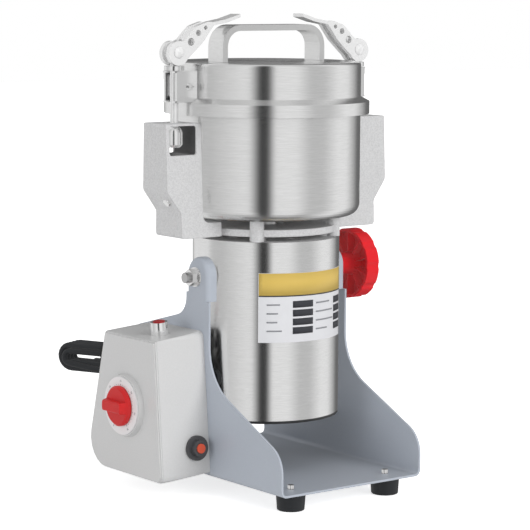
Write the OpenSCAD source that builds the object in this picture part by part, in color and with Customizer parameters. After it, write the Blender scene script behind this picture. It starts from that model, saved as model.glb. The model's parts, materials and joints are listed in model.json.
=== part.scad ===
// Swing-type grain mill: a bowl and motor hung between the ears of a folded stand.
// Front is -Y, the control box stands on the -X cheek, and the bowl's axis is vertical.
// Heights are from the table.

/* [Stand] */
// Gap between the motor tube and a cheek
tube_gap = 8.6; // [7.5:0.1:14]
// Thickness of the stand's sheet
sheet_t = 1.8; // [1.5:0.1:3]
// Height of the base's underside
base_z = 13.8; // [8:0.2:20]
// Reach of the stand in front of the bowl's axis
stand_front = 109.5; // [95:0.5:125]
// Reach of the stand behind the bowl's axis
stand_rear = 87.5; // [82:0.5:110]
// Outer radius of the two folds
fold_r = 5; // [3.5:0.5:8]
// Height of the tilt axis
pivot_z = 167.5; // [160:0.5:180]
// Radius of an ear round the tilt axis
ear_r = 13.8; // [12:0.2:16]
// How far an ear's rim turns in towards the motor
ear_lip = 7; // [4:0.2:8]
// How far the ear's rim reaches below the tilt axis
ear_skirt = 18; // [12:0.5:24]
// Front edge of a cheek's neck, before the tilt axis
neck_front = 17.5; // [16:0.5:24]
// Rear edge of a cheek's neck, behind the tilt axis
neck_rear = 12; // [9:0.5:15]
// Height at which the sloping front edge would meet the front line
nose_z = 44.9; // [38:0.5:52]
// Slope of the cheeks' front edge in degrees
front_slope = 25.5; // [18:0.5:30]
// Radius of the nose
nose_r = 22; // [10:1:26]
// Radius where the front slope turns up into the neck
throat_r = 42; // [20:1:46]
// Height at which the sloping rear edge would meet the neck
shoulder_z = 139; // [134:0.5:144]
// Slope of the cheeks' rear edge in degrees
rear_slope = 15; // [8:0.5:20]
// Radius where the neck turns into the rear slope
shoulder_r = 16; // [8:1:16]
// Radius of the cheeks' rear corner
rear_corner_r = 16; // [5:1:25]

/* [Feet] */
// Radius of a foot where it touches the table
foot_r = 10.4; // [8:0.2:13]
// How much wider a foot is at its top
foot_flare = 0.95; // [0:0.05:2]
// Distance of the feet from the middle plane
foot_x = 46.2; // [40:0.2:50]
// Distance of the feet from the stand's front and rear edges
foot_inset = 16.7; // [14:0.1:24]
// Radius of a foot's stud
foot_stud_r = 2.4; // [2:0.1:3]
// Radius of the stud's head in the foot
foot_head_r = 5; // [4:0.1:6]
// Thickness of the stud's head
foot_head_t = 3; // [2:0.1:4]
// How far a stud stands above the base
foot_stud_tip = 3.2; // [1:0.1:6]

/* [Pivot] */
// Radius of the pivot studs
stud_r = 4; // [3.5:0.25:4.5]
// Radius of a stud's head inside the motor tube
stud_head_r = 8; // [7:0.5:10]
// Thickness of a stud's head
stud_head_t = 3; // [2:0.5:4]
// Wall of the bushes in the ears
bush_wall = 1; // [0.8:0.1:1.5]
// Radius of the bushes' flanges, the spacers and the washers
washer_r = 7.5; // [8:0.25:10]
// Thickness of a washer
washer_t = 1.2; // [0.8:0.1:2]
// Width of the pivot nut across its flats
nut_af = 11.6; // [11:0.2:14]
// Thickness of the pivot nut
nut_t = 5.2; // [5:0.1:8]
// How far the stud stands out of its nut
stud_tip = 4; // [1:0.1:6]

/* [Clamp knob] */
// Radius of the clamp knob's rim
clamp_r = 28.1; // [22:0.1:32]
// Depth of the clamp knob's rim
clamp_rim_w = 12; // [9:0.5:16]
// Thickness of the clamp knob's rim and ribs
clamp_wall = 2.4; // [1.8:0.1:3]
// Thickness of the clamp knob's face
clamp_face_t = 3; // [2:0.1:4]
// Length of the hub between the washer and the rim
clamp_hub_l = 11.5; // [9:0.5:16]
// Radius of the clamp knob's hub
clamp_hub_r = 8; // [7:0.25:10]
// Number of lobes on the clamp knob
clamp_lobes = 10; // [6:1:14]

/* [Control box] */
// Depth of the control box, out from the cheek
box_d = 47.2; // [38:0.2:52]
// Height of the box's outer top edge
box_top_z = 122.3; // [110:0.5:126]
// Height of the box's outer bottom edge
box_bottom_z = 14; // [12:0.2:16]
// How much higher the box's top and bottom are at the cheek
box_rise = 4.2; // [0:0.2:6]
// Front of the box at its top, before the bowl's axis
box_front_top = 10.5; // [6:0.5:16]
// Front of the box at its bottom, before the bowl's axis
box_front_bottom = 20.5; // [10:0.5:24]
// Rear of the box at its top, behind the bowl's axis
box_rear_top = 56.5; // [55:0.5:70]
// Rear of the box at its bottom, behind the bowl's axis
box_rear_bottom = 84; // [76:0.5:90]
// Radius of the box's lower rear corner
box_heel_r = 21; // [12:0.5:26]
// Radius of the box's other corners in side view
box_corner_r = 5; // [4:0.5:9]
// Radius of the box's outer edges
box_edge_r = 3.6; // [1:0.2:4]
// Wall of the box
box_wall = 2.6; // [1.8:0.1:3]

/* [Dial and timer] */
// Distance of the dial's centre behind the bowl's axis
dial_y = 27; // [26:0.5:36]
// Height of the dial's centre
dial_z = 68.5; // [50:0.5:75]
// Radius of the dial's boss at the box
dial_boss_r = 25; // [20:0.5:28]
// Radius of the dial plate
dial_r = 22.5; // [18:0.5:24]
// Height of the boss on the box
dial_boss_h = 3; // [1:0.2:6]
// Thickness of the dial plate
dial_t = 1; // [0.5:0.1:2]
// Radius of the timer knob's disc
knob_r = 15.6; // [11:0.2:18]
// Thickness of the timer knob's disc
knob_disc_t = 4; // [3:0.2:6]
// Height of the timer knob's grip above its disc
grip_h = 5; // [4:0.5:10]
// Width of the grip
grip_w = 8; // [5:0.2:10]
// Radius of the timer's shaft
timer_shaft_r = 3; // [2.5:0.1:3.5]
// Radius of the timer's movement
timer_body_r = 19; // [15:0.5:21]
// Depth of the timer's movement
timer_body_d = 24; // [18:0.5:28]

/* [Switch and breaker] */
// Radius of the power switch's barrel
switch_r = 6.6; // [5.5:0.1:8]
// Height of the barrel above the box
switch_h = 10.5; // [6:0.5:14]
// Radius of the power button
power_button_r = 4.6; // [3.5:0.1:5]
// Travel of the power button
power_travel = 2; // [1:0.1:3]
// Distance of the power switch behind the bowl's axis
switch_y = 10; // [6:0.5:24]
// Radius of the breaker's ring nut
breaker_ring_r = 9.6; // [8:0.2:11]
// Thickness of the breaker's ring nut
breaker_ring_t = 2.6; // [1.5:0.1:4]
// Radius of the breaker's neck
breaker_neck_r = 6.3; // [5:0.1:7]
// Height of the breaker's neck above its ring nut
breaker_neck_h = 3.8; // [1:0.1:4]
// Radius of the breaker's reset button
reset_r = 3.7; // [3:0.1:4.5]
// Travel of the reset button
reset_travel = 2; // [1:0.1:3]
// Distance of the breaker from the middle plane
breaker_x = 80.3; // [74:0.2:84]
// Height of the breaker's centre
breaker_z = 38.4; // [30:0.5:60]

/* [Motor tube] */
// Radius of the motor tube
tube_r = 57.6; // [54:0.1:58]
// Wall of the motor tube
tube_wall = 1.5; // [1:0.1:2]
// Height of the tube's bottom
tube_z = 58; // [54:0.5:64]
// Height of the tube's top
tube_top_z = 196.2; // [190:0.2:198]
// How far the bottom cover stands below the tube
cover_drop = 2; // [1:0.1:4]
// Height of the grommet's centre
grommet_z = 88.6; // [80:0.5:105]
// Radius of the grommet's flange
grommet_r = 7.8; // [6:0.2:9]
// Angle of the grommet before the -X side in degrees
grommet_angle = 8; // [0:1:20]
// Half of the label's width, as an angle in degrees
label_angle = 43; // [20:1:60]
// Height of the label's bottom
label_z = 119.2; // [100:0.5:130]
// Height of the label
label_h = 53.5; // [30:0.5:60]

/* [Carrier casting] */
// Radius of the carrier's ring under the bowl
ring_r = 54.5; // [50:0.5:57]
// Height of the ring's underside
ring_z = 200; // [199:0.2:202]
// Thickness of the ring
ring_t = 5.4; // [4:0.2:7]
// Radius of the four pillars
pillar_r = 5.5; // [4:0.25:7]
// Distance of the pillars from the axis
pillar_ring_r = 52.5; // [51:0.5:54]
// Reach of an arm from the axis at its top
arm_reach = 106.8; // [100:0.1:112]
// Reach of an arm from the axis at its foot
arm_foot_reach = 94.5; // [88:0.5:100]
// Reach of an arm's top before its middle
arm_half_w = 15.6; // [12:0.2:18]
// Reach of an arm's top behind its middle
arm_rear_w = 13.2; // [12:0.2:16]
// How much further an arm's front reaches at its foot
arm_draft = 3.8; // [0:0.2:5]
// Height of an arm's top
arm_top_z = 286.8; // [280:0.2:290]
// Height where an arm starts to draw in
arm_waist_z = 236; // [228:0.5:250]
// Height where an arm has drawn in
arm_hip_z = 219.5; // [212:0.5:224]
// Height of an arm's foot above the ring's underside
arm_foot_t = 11; // [8:0.2:12.5]
// Inner end of an arm's foot, from the axis
arm_toe = 57.3; // [52:0.5:65]
// Gap between the bowl and the arms
arm_gap = 1.2; // [1:0.1:4]

/* [Bowl and lid] */
// Radius of the bowl
bowl_r = 73; // [68:0.5:74]
// Wall of the bowl and of the lid
bowl_wall = 1.5; // [1:0.1:2]
// Thickness of the bowl's floor
floor_t = 2; // [1.5:0.1:3]
// Height of the bowl's underside
bowl_z = 212.8; // [212:0.2:220]
// Height of the bowl's rim
rim_z = 298; // [290:0.5:304]
// Radius of the bowl's lower corner
bowl_corner_r = 9.5; // [6:0.5:16]
// How far the rim flange stands out of the bowl
rim_out = 4; // [3:0.1:4.4]
// Thickness of the rim flange
rim_t = 1.8; // [1.2:0.1:2.5]
// Radius of the lid's upper wall
lid_r = 73.2; // [72.5:0.1:75.5]
// Radius of the lid's skirt
skirt_r = 80; // [79:0.1:81]
// Depth of the lid's skirt
skirt_h = 9.5; // [8:0.1:12]
// Height of the skirt's lower edge
skirt_z = 291.9; // [290:0.1:294]
// Height of the step between the skirt and the wall
lid_step = 3.6; // [2:0.1:6]
// Height of the lid's top
lid_top_z = 331.6; // [322:0.2:340]

/* [Handle] */
// Length of the handle between the outsides of its legs
handle_l = 98.8; // [80:0.2:110]
// Width of the handle's strap
handle_w = 19.2; // [14:0.2:24]
// Thickness of the handle's strap
handle_t = 4.6; // [3:0.1:6]
// Height of the handle's top
handle_top_z = 360; // [352:0.2:362]
// Outer radius of the handle's bends
handle_bend_r = 16.5; // [10:0.5:20]

/* [Latches] */
// Distance of the latch rods from the axis
rod_x = 88; // [87:0.1:89.5]
// Radius of a latch rod
rod_r = 3.2; // [2.8:0.1:3.4]
// Height of the lever pins
pin_z = 339.6; // [339.4:0.1:342]
// Radius of a lever pin
pin_r = 3; // [2.5:0.1:3.5]
// Radius of a lever pin's head
pin_head_r = 4.5; // [4:0.1:5.5]
// Height of a lever pin's head
pin_head_h = 1.6; // [1:0.1:2.5]
// Radius of a lever's cam
cam_r = 9.2; // [8.5:0.1:9.4]
// How far the cam's centre lies below its pin
cam_offset = 0.6; // [0.2:0.1:0.8]
// Width of a lever across both leaves
lever_w = 12.6; // [11:0.2:15]
// Thickness of a leaf
leaf_t = 3.9; // [3:0.1:4.2]
// Length of a lever from its pin
lever_l = 57.5; // [50:0.5:66]
// Height of the lever's tip above its pin
lever_rise = 25.6; // [22:0.2:30]
// Radius of a collar under the cam
collar_r = 7.6; // [6.5:0.1:8.5]
// Thickness of a collar
collar_t = 3.4; // [2.6:0.1:3.6]
// Radius of a round adjusting nut
round_nut_r = 6.3; // [5.5:0.1:7]
// Height of a round adjusting nut
round_nut_h = 16.5; // [12:0.5:18]
// How far a latch rod swings out in degrees
rod_swing = 20; // [10:1:22]

/* [Lug brackets] */
// Width of a lug bracket across its cheeks
bracket_w = 17.4; // [16:0.2:20]
// Reach of a lug bracket from the axis
bracket_reach = 91.6; // [91:0.1:94]
// Thickness of a bracket's cheeks and web
bracket_t = 2.2; // [1.5:0.1:2.8]
// Thickness of a bracket's top and bottom plates
plate_t = 1.3; // [1:0.1:2]
// Height of the bracket's underside
bracket_z = 302; // [301.8:0.1:304]
// Height of the bracket's top
bracket_top_z = 325.7; // [322:0.1:325.8]
// Radius of the bracket screws' heads
bracket_head_r = 2.9; // [2.4:0.1:3.5]

/* [Motor and blades] */
// Radius of the shaft in its upper bearing
shaft_r = 7.5; // [6:0.25:8]
// Radius of the shaft in its lower bearing
tail_r = 4; // [3:0.25:5]
// Radius of the shaft through the blades
arbor_r = 5; // [4:0.25:6]
// Radius of the armature
armature_r = 27.5; // [24:0.5:28]
// Length of the armature and of the stator
stack_h = 52; // [40:1:56]
// Height of the stack's underside
stack_z = 104; // [103:0.5:108]
// Gap between the armature and the stator
air_gap = 1; // [0.6:0.1:1.5]
// Gap between the stator and the tube's inside
stator_gap = 6.1; // [4:0.1:8]
// Radius of the commutator
commutator_r = 12; // [10:0.5:14]
// Radius of the cooling fan
fan_r = 38; // [30:0.5:39]
// Number of fan blades
fan_blades = 9; // [6:1:12]
// Length of the lower blade, tip to tip
lower_blade_l = 126; // [100:1:132]
// Length of the upper blade, tip to tip
upper_blade_l = 112; // [90:1:132]
// Width of the blades
blade_w = 22; // [16:0.5:28]
// Thickness of the blades
blade_t = 3; // [2:0.1:4]
// Distance between the blades
blade_gap = 18; // [12:0.5:26]

/* [Place] */
// The bowl's axis, right of the footprint's middle
axis_x = 11; // [0:0.05:20]
// The bowl's axis, behind the footprint's middle
axis_y = 11; // [0:0.05:20]

/* [Hidden] */
$fn = 96;

// Overrun of every cut
cut = 1;
// Running clearance of shafts and buttons
run_gap = 0.06;
// Clearance of screws in their holes and of other still pieces
seat_gap = 0.1;
// Clearance between moving pieces that don't touch
free_gap = 0.4;

paint = [0.45, 0.50, 0.56];
satin = [0.80, 0.80, 0.79];
steel = [0.72, 0.72, 0.73];
bright = [0.85, 0.85, 0.86];
cast_silver = [0.76, 0.76, 0.76];
red = [0.78, 0.08, 0.10];
orange = [0.88, 0.30, 0.18];
black = [0.07, 0.07, 0.08];
dark_grey = [0.24, 0.25, 0.26];
white = [0.93, 0.93, 0.93];
copper = [0.72, 0.42, 0.20];
iron = [0.35, 0.36, 0.38];
nylon = [0.86, 0.86, 0.80];

// A vector of length one
function unit(v) = v / norm(v);
// A 2-D vector turned by an angle
function spin(v, a) = [v.x * cos(a) - v.y * sin(a), v.x * sin(a) + v.y * cos(a)];
// The arc that rounds corner p, between its neighbours a and b
function corner(a, p, b, r, n) =
    r == 0 ? [p] :
    let (
        u = unit(a - p),
        v = unit(b - p),
        half = acos(u * v) / 2,
        centre = p + unit(u + v) * r / sin(half),
        start = p + u * r / tan(half) - centre,
        turn = (cross(u, v) > 0 ? -1 : 1) * (180 - 2 * half)
    )
    [for (i = [0:n]) centre + spin(start, turn * i / n)];
// A closed outline from corners [x, y, radius]
function rounded(path, n = 6) =
    let (
        k = len(path),
        p = [for (q = path) [q.x, q.y]]
    )
    [for (i = [0:k - 1]) each corner(p[(i + k - 1) % k], p[i], p[(i + 1) % k], path[i].z, n)];

// Extrudes a (Y, Z) outline from x0 to x1
module along_x(x0, x1) {
    translate([x0, 0, 0]) rotate([90, 0, 90]) linear_extrude(x1 - x0) children();
}
// Extrudes an (X, Z) outline from y0 to y1
module along_y(y0, y1) {
    translate([0, y1, 0]) rotate([90, 0, 0]) linear_extrude(y1 - y0) children();
}
// A round bar from x0 to x1
module bar_x(x0, x1, r) {
    translate([x0, 0, 0]) rotate([0, 90, 0]) cylinder(h = x1 - x0, r = r);
}
// A round bar from y0 to y1
module bar_y(y0, y1, r) {
    translate([0, y1, 0]) rotate([90, 0, 0]) cylinder(h = y1 - y0, r = r);
}
// A round bar from z0 to z1
module bar_z(z0, z1, r) {
    translate([0, 0, z0]) cylinder(h = z1 - z0, r = r);
}
// A block between two corners
module block(low, high) {
    translate(low) cube(high - low);
}
// The piece and its mirror image
module both_sides() {
    children();
    mirror([1, 0, 0]) children();
}
// The piece on the side given: -1 is left, as drawn, and 1 is right
module on_side(side) {
    if (side < 0) children();
    else mirror([1, 0, 0]) children();
}
// Copies at the four diagonals, at distance r from the axis
module at_diagonals(r) {
    for (a = [45:90:315]) rotate([0, 0, a]) translate([r, 0, 0]) children();
}
// Puts the origin under the footprint's middle
module placed() {
    translate([axis_x, axis_y, 0]) children();
}

// Inner and outer faces of the cheeks
cheek_out = tube_r + tube_gap + sheet_t;
cheek_in = cheek_out - sheet_t;
base_top_z = base_z + sheet_t;
ear_rise = 1.7;
ear_mid_z = pivot_z + ear_rise;
ear_top_z = ear_mid_z + ear_r;
ear_low_z = pivot_z - ear_skirt;
ear_y = neck_rear - ear_r;
neck_foot_z = shoulder_z + shoulder_r;
foot_y = [-stand_front + foot_inset, stand_rear - foot_inset];

// Height where the sloping front edge would meet the neck
throat_z = nose_z + (stand_front - neck_front) * tan(front_slope);
// Height where the sloping rear edge would meet the rear line
rear_top_z = shoulder_z - (stand_rear - neck_rear) * tan(rear_slope);

// Side view of a cheek, without its ear
cheek_outline = rounded([
    [-stand_front, base_z, 0],
    [-stand_front, nose_z, nose_r],
    [-neck_front, throat_z, throat_r],
    [-neck_front, ear_low_z, 0],
    [ear_y, ear_low_z, 0],
    [ear_y, neck_foot_z, 0],
    [neck_rear, neck_foot_z, 0],
    [neck_rear, shoulder_z, shoulder_r],
    [stand_rear, rear_top_z, rear_corner_r],
    [stand_rear, base_z, 0]
], 9);
// Front view of the folded sheet
fold_outline = rounded([
    [-cheek_out, ear_top_z, 0],
    [-cheek_out, base_z, fold_r],
    [cheek_out, base_z, fold_r],
    [cheek_out, ear_top_z, 0],
    [cheek_in, ear_top_z, 0],
    [cheek_in, base_top_z, fold_r - sheet_t],
    [-cheek_in, base_top_z, fold_r - sheet_t],
    [-cheek_in, ear_top_z, 0]
]);

// Section of an ear's rim: distance from its middle, X
ear_bend_r = 4;
rim_points = [
    [ear_r, cheek_out, ear_bend_r],
    [ear_r, cheek_in - ear_lip, 0],
    [ear_r - sheet_t, cheek_in - ear_lip, 0],
    [ear_r - sheet_t, cheek_in, ear_bend_r - sheet_t]
];
ear_half = rounded(concat(rim_points, [[0, cheek_in, 0], [0, cheek_out, 0]]));
ear_section = rounded(concat(rim_points, [for (i = [3:-1:0]) [-rim_points[i].x, rim_points[i].y, rim_points[i].z]]));
// An ear: round above, straight below
module ear() translate([0, ear_y, 0]) {
    translate([0, 0, ear_mid_z]) rotate([0, 90, 0]) rotate([0, 0, 90]) rotate_extrude(angle = 180)
        polygon(ear_half);
    translate([0, 0, ear_low_z]) linear_extrude(ear_mid_z - ear_low_z)
        polygon([for (p = ear_section) [p.y, p.x]]);
}

// Box screws, as places on the cheek (Y, Z)
box_screw_inset = 8;
box_screw_places = [
    [-box_front_top + box_screw_inset, box_top_z - box_screw_inset],
    [box_rear_top - box_screw_inset, box_top_z - box_screw_inset],
    [-box_front_bottom + 4.2 * box_screw_inset, box_bottom_z + 1.6 * box_screw_inset],
    [box_rear_bottom - 2.2 * box_screw_inset, box_bottom_z + 1.6 * box_screw_inset]
];
box_screw_r = 1.6;
box_screw_head_r = 3;
box_screw_head_t = 2;
box_screw_l = 12;
box_post_r = 4.2;
// Hole in the left cheek for the motor's lead
lead_hole_r = 6;
lead_hole_place = [dial_y, grommet_z];

module stand_frame() color(paint) placed() difference() {
    union() {
        intersection() {
            along_y(-stand_front, stand_rear) polygon(fold_outline);
            along_x(-cheek_out, cheek_out) polygon(cheek_outline);
        }
        both_sides() ear();
    }
    translate([0, 0, pivot_z]) bar_x(-cheek_out - cut, cheek_out + cut, bush_r + seat_gap / 2);
    for (x = [-foot_x, foot_x], y = foot_y)
        translate([x, y, 0]) bar_z(base_z - cut, base_top_z + cut, foot_stud_r + seat_gap);
    for (p = box_screw_places)
        translate([0, p.x, p.y]) bar_x(-cheek_out - cut, -cheek_in + cut, box_screw_r + seat_gap);
    translate([0, lead_hole_place.x, lead_hole_place.y])
        bar_x(-cheek_out - cut, -cheek_in + cut, lead_hole_r);
}

// Section of a foot, from its axis out
foot_recess_h = 1.8 * foot_head_t;
foot_edge_r = 1;
foot_outline = rounded([
    [foot_head_r + seat_gap, 0, 0],
    [foot_r, 0, foot_edge_r],
    [foot_r + foot_flare, base_z, 0],
    [foot_stud_r + seat_gap, base_z, 0],
    [foot_stud_r + seat_gap, foot_recess_h, 0],
    [foot_head_r + seat_gap, foot_recess_h, 0]
], 4);
module rubber_feet() color(black) placed()
    for (x = [-foot_x, foot_x], y = foot_y)
        translate([x, y, 0]) rotate_extrude() polygon(foot_outline);

module foot_studs() color(bright) placed()
    for (x = [-foot_x, foot_x], y = foot_y) translate([x, y, 0]) {
        bar_z(foot_recess_h - foot_head_t, foot_recess_h, foot_head_r);
        bar_z(foot_recess_h - foot_head_t, base_top_z + foot_stud_tip, foot_stud_r);
    }

// Bushes: a sleeve in each ear with a flange on its inner face
bush_bore_r = stud_r + run_gap;
bush_r = bush_bore_r + bush_wall;
module pivot_bushes() color(nylon) placed() translate([0, 0, pivot_z]) both_sides()
    difference() {
        union() {
            bar_x(cheek_in - bush_wall, cheek_out, bush_r);
            bar_x(cheek_in - bush_wall, cheek_in, washer_r);
        }
        bar_x(cheek_in - bush_wall - cut, cheek_out + cut, bush_bore_r);
    }

// Studs that carry the motor tube: left with a nut, right with the clamp knob
washer_x = cheek_out + seat_gap;
nut_x = washer_x + washer_t;
stud_end_left = nut_x + nut_t + stud_tip;
knob_x = nut_x + seat_gap;
stud_end_right = knob_x + clamp_hub_l + clamp_rim_w - clamp_face_t - stud_tip;
stud_head_x = sqrt(pow(tube_r - tube_wall, 2) - pow(stud_head_r, 2)) - seat_gap;
module pivot_studs() color(steel) placed() translate([0, 0, pivot_z]) {
    for (side = [-1, 1]) on_side(-side) {
        bar_x(stud_head_x - stud_head_t, stud_head_x, stud_head_r);
        bar_x(stud_head_x - stud_head_t, side < 0 ? stud_end_left : stud_end_right, stud_r);
    }
}

// Spacers between the tube and the ears, washers outside the ears, and the left nut
module pivot_fasteners() color(bright) placed() translate([0, 0, pivot_z]) {
    both_sides() difference() {
        union() {
            bar_x(tube_r + seat_gap, cheek_in - bush_wall - seat_gap, washer_r);
            bar_x(washer_x, nut_x, washer_r);
        }
        bar_x(tube_r - cut, nut_x + cut, stud_r + seat_gap);
    }
    mirror([1, 0, 0]) difference() {
        translate([nut_x, 0, 0]) rotate([0, 90, 0])
            cylinder(h = nut_t, r = nut_af / 2 / cos(30), $fn = 6);
        bar_x(nut_x - cut, nut_x + nut_t + cut, stud_r + seat_gap);
    }
}

// Clamp knob: a lobed rim round a ribbed hollow back
clamp_rim_x = knob_x + clamp_hub_l;
clamp_face_x = clamp_rim_x + clamp_rim_w;
clamp_lobe_r_share = 0.26;
module clamp_knob() color(red) placed() translate([0, 0, pivot_z]) difference() {
    union() {
        difference() {
            bar_x(clamp_rim_x, clamp_face_x, clamp_r);
            bar_x(clamp_rim_x - cut, clamp_face_x - clamp_face_t, clamp_r - clamp_wall);
        }
        for (i = [0:clamp_lobes / 2 - 1]) rotate([180 * i / (clamp_lobes / 2), 0, 0])
            block([clamp_rim_x + clamp_wall, -clamp_wall / 3, -clamp_r + clamp_wall / 2],
                [clamp_face_x - clamp_face_t / 2, clamp_wall / 3, clamp_r - clamp_wall / 2]);
        translate([knob_x, 0, 0]) rotate([0, 90, 0])
            cylinder(h = clamp_face_x - clamp_face_t / 2 - knob_x, r1 = clamp_hub_r,
                r2 = clamp_hub_r + clamp_wall);
    }
    bar_x(knob_x - cut, stud_end_right + seat_gap, stud_r + run_gap);
    for (i = [0:clamp_lobes - 1]) rotate([360 * (i + 0.5) / clamp_lobes, 0, 0])
        translate([0, 0, clamp_r + clamp_r * clamp_lobe_r_share - clamp_wall / 3])
            bar_x(clamp_rim_x - cut, clamp_face_x + cut, clamp_r * clamp_lobe_r_share);
}

// Control box: a cast shell, open towards the cheek
box_x = -cheek_out - box_d;
// Slope of the box's front, from upright
front_lean = atan((box_front_bottom - box_front_top) / (box_top_z + box_rise - box_bottom_z));
function box_outline(inset, r, heel) = rounded([
    [-box_front_bottom + inset, box_bottom_z + inset, r],
    [-box_front_top + inset, box_top_z + box_rise - inset, r],
    [box_rear_top - inset, box_top_z + box_rise - inset, r],
    [box_rear_bottom - inset, box_bottom_z + inset, heel]
]);
// Section of the box, its outer face inset
function box_section(inset, open = 0) = [
    [box_x + inset, box_bottom_z + inset],
    [box_x + inset, box_top_z - inset],
    [-cheek_out + open, box_top_z + box_rise - inset],
    [-cheek_out + open, box_bottom_z + box_rise + inset]
];
module box_slice(x0, x1, inset, shrink = 0, open = 0) {
    intersection() {
        along_x(x0, x1) polygon(box_outline(shrink, box_corner_r, box_heel_r));
        along_y(-box_front_bottom - cut, box_rear_bottom + cut) polygon(box_section(inset, open));
    }
}
edge_steps = 4;
module box_body() {
    for (i = [0:edge_steps]) let (a = 90 * i / edge_steps, in = box_edge_r * (1 - cos(a)))
        box_slice(box_x + box_edge_r * (1 - sin(a)), -cheek_out, in, in);
}
module box_hollow() box_slice(box_x + box_wall, -cheek_out + cut, box_wall, box_wall, cut);
// Stands things on the box's sloping top, over the middle of the box
top_slope = atan(box_rise / box_d);
switch_out = box_d * 0.56;
switch_top_z = box_top_z + box_rise - switch_out * tan(top_slope);
module at_switch() {
    translate([-cheek_out - switch_out, switch_y, switch_top_z]) rotate([0, -top_slope, 0]) children();
}
// On the box's front, with +Z outwards
breaker_y = -box_front_bottom + (breaker_z - box_bottom_z) * tan(front_lean);
module at_breaker() {
    translate([-breaker_x, breaker_y, breaker_z]) rotate([90 - front_lean, 0, 0]) children();
}
// At the dial, with +Z outwards
module at_dial() {
    translate([box_x, dial_y, dial_z]) rotate([0, -90, 0]) children();
}
timer_neck_r = 1.9 * timer_shaft_r;
dial_face_h = dial_boss_h + dial_t;
switch_body_r = 1.15 * switch_r;
switch_body_h = 22;
breaker_body_w = 15;
breaker_body_h = 20;
rear_lean = atan((box_rear_bottom - box_rear_top) / (box_top_z + box_rise - box_bottom_z));
gland_r = 6;
gland_rise = 46;
gland_z = box_bottom_z + gland_rise;
// Place of the cord's gland, on the box's rear
gland_x = -cheek_out - 2 * gland_r;
gland_y = box_rear_bottom - (gland_z - box_bottom_z) * tan(rear_lean);
module at_gland() {
    translate([gland_x, gland_y, gland_z]) rotate([rear_lean - 90, 0, 0]) children();
}
module control_box() color(satin) placed() difference() {
    union() {
        difference() {
            box_body();
            box_hollow();
        }
        at_dial() translate([0, 0, -box_wall / 2])
            cylinder(h = dial_boss_h + box_wall / 2, r1 = dial_boss_r, r2 = dial_r + dial_t);
        intersection() {
            box_body();
            for (p = box_screw_places) translate([0, p.x, p.y])
                bar_x(box_x + box_wall / 2, -cheek_out, box_post_r);
        }
    }
    at_dial() bar_z(-box_wall - cut, dial_boss_h + cut, timer_neck_r + seat_gap);
    at_switch() bar_z(-box_wall - cut, cut, switch_r + seat_gap);
    at_breaker() bar_z(-box_wall - cut, cut, breaker_neck_r + seat_gap);
    at_gland() bar_z(-box_wall - cut, cut, gland_r - gland_step + seat_gap);
    for (p = box_screw_places) translate([0, p.x, p.y])
        bar_x(-cheek_out - box_screw_l, -cheek_out + cut, box_screw_r + seat_gap);
}

module box_screws() color(steel) placed() for (p = box_screw_places) translate([0, p.x, p.y]) {
    bar_x(-cheek_in + seat_gap - box_screw_l, -cheek_in + seat_gap, box_screw_r);
    bar_x(-cheek_in + seat_gap, -cheek_in + seat_gap + box_screw_head_t, box_screw_head_r);
}

module dial_plate() color(white) placed() at_dial() difference() {
    bar_z(dial_boss_h + seat_gap, dial_face_h, dial_r);
    bar_z(0, dial_face_h + cut, timer_neck_r + seat_gap);
}

module timer_body() color(dark_grey) placed() at_dial() difference() {
    union() {
        bar_z(-box_wall - seat_gap - timer_body_d, -box_wall - seat_gap, timer_body_r);
        bar_z(-box_wall - cut, dial_face_h, timer_neck_r);
    }
    bar_z(-timer_body_d / 2, dial_face_h + cut, timer_shaft_r + run_gap);
}

// Timer knob: a bevelled disc with a grip bar
knob_base_h = dial_face_h + free_gap;
knob_bevel = 1.6;
grip_taper = 1.2;
knob_bore_h = knob_base_h + knob_disc_t + grip_h / 2;
module timer_knob() color(red) placed() at_dial() difference() {
    union() {
        bar_z(knob_base_h, knob_base_h + knob_disc_t - knob_bevel, knob_r);
        translate([0, 0, knob_base_h + knob_disc_t - knob_bevel])
            cylinder(h = knob_bevel, r1 = knob_r, r2 = knob_r - knob_bevel);
        intersection() {
            rotate([90, 0, 0]) translate([0, 0, -knob_r]) linear_extrude(2 * knob_r) polygon(rounded([
                [-grip_w / 2 - grip_taper, knob_base_h, 0],
                [-grip_w / 2, knob_base_h + knob_disc_t + grip_h, grip_taper],
                [grip_w / 2, knob_base_h + knob_disc_t + grip_h, grip_taper],
                [grip_w / 2 + grip_taper, knob_base_h, 0]
            ]));
            translate([0, 0, knob_base_h])
                cylinder(h = knob_disc_t + grip_h, r1 = knob_r, r2 = knob_r - 3 * grip_taper);
        }
    }
    bar_z(knob_base_h - cut, knob_bore_h, timer_shaft_r + seat_gap);
}
module timer_shaft() color(steel) placed() at_dial()
    bar_z(-timer_body_d / 2 + seat_gap, knob_bore_h - seat_gap, timer_shaft_r);

// Power switch: a barrel and the button that travels in it
button_rise = 0.7;
button_foot_h = 2;
button_well = power_travel + button_foot_h + button_rise;
module switch_body() color(bright) placed() at_switch() difference() {
    union() {
        bar_z(-switch_body_h, -box_wall - 5 * seat_gap, switch_body_r);
        bar_z(-box_wall - cut, switch_h - button_rise, switch_r);
    }
    bar_z(switch_h - button_rise - button_well, switch_h, power_button_r + run_gap);
}
module power_button() color(red) placed() at_switch()
    translate([0, 0, switch_h - button_rise - button_well + power_travel + free_gap]) difference() {
        cylinder(h = button_well - power_travel - free_gap + button_rise, r = power_button_r);
        translate([0, 0, button_well - power_travel - free_gap + button_rise + button_dish_r - button_dish])
            sphere(r = button_dish_r);
    }
button_dish = 0.5;
button_dish_r = 12;

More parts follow.
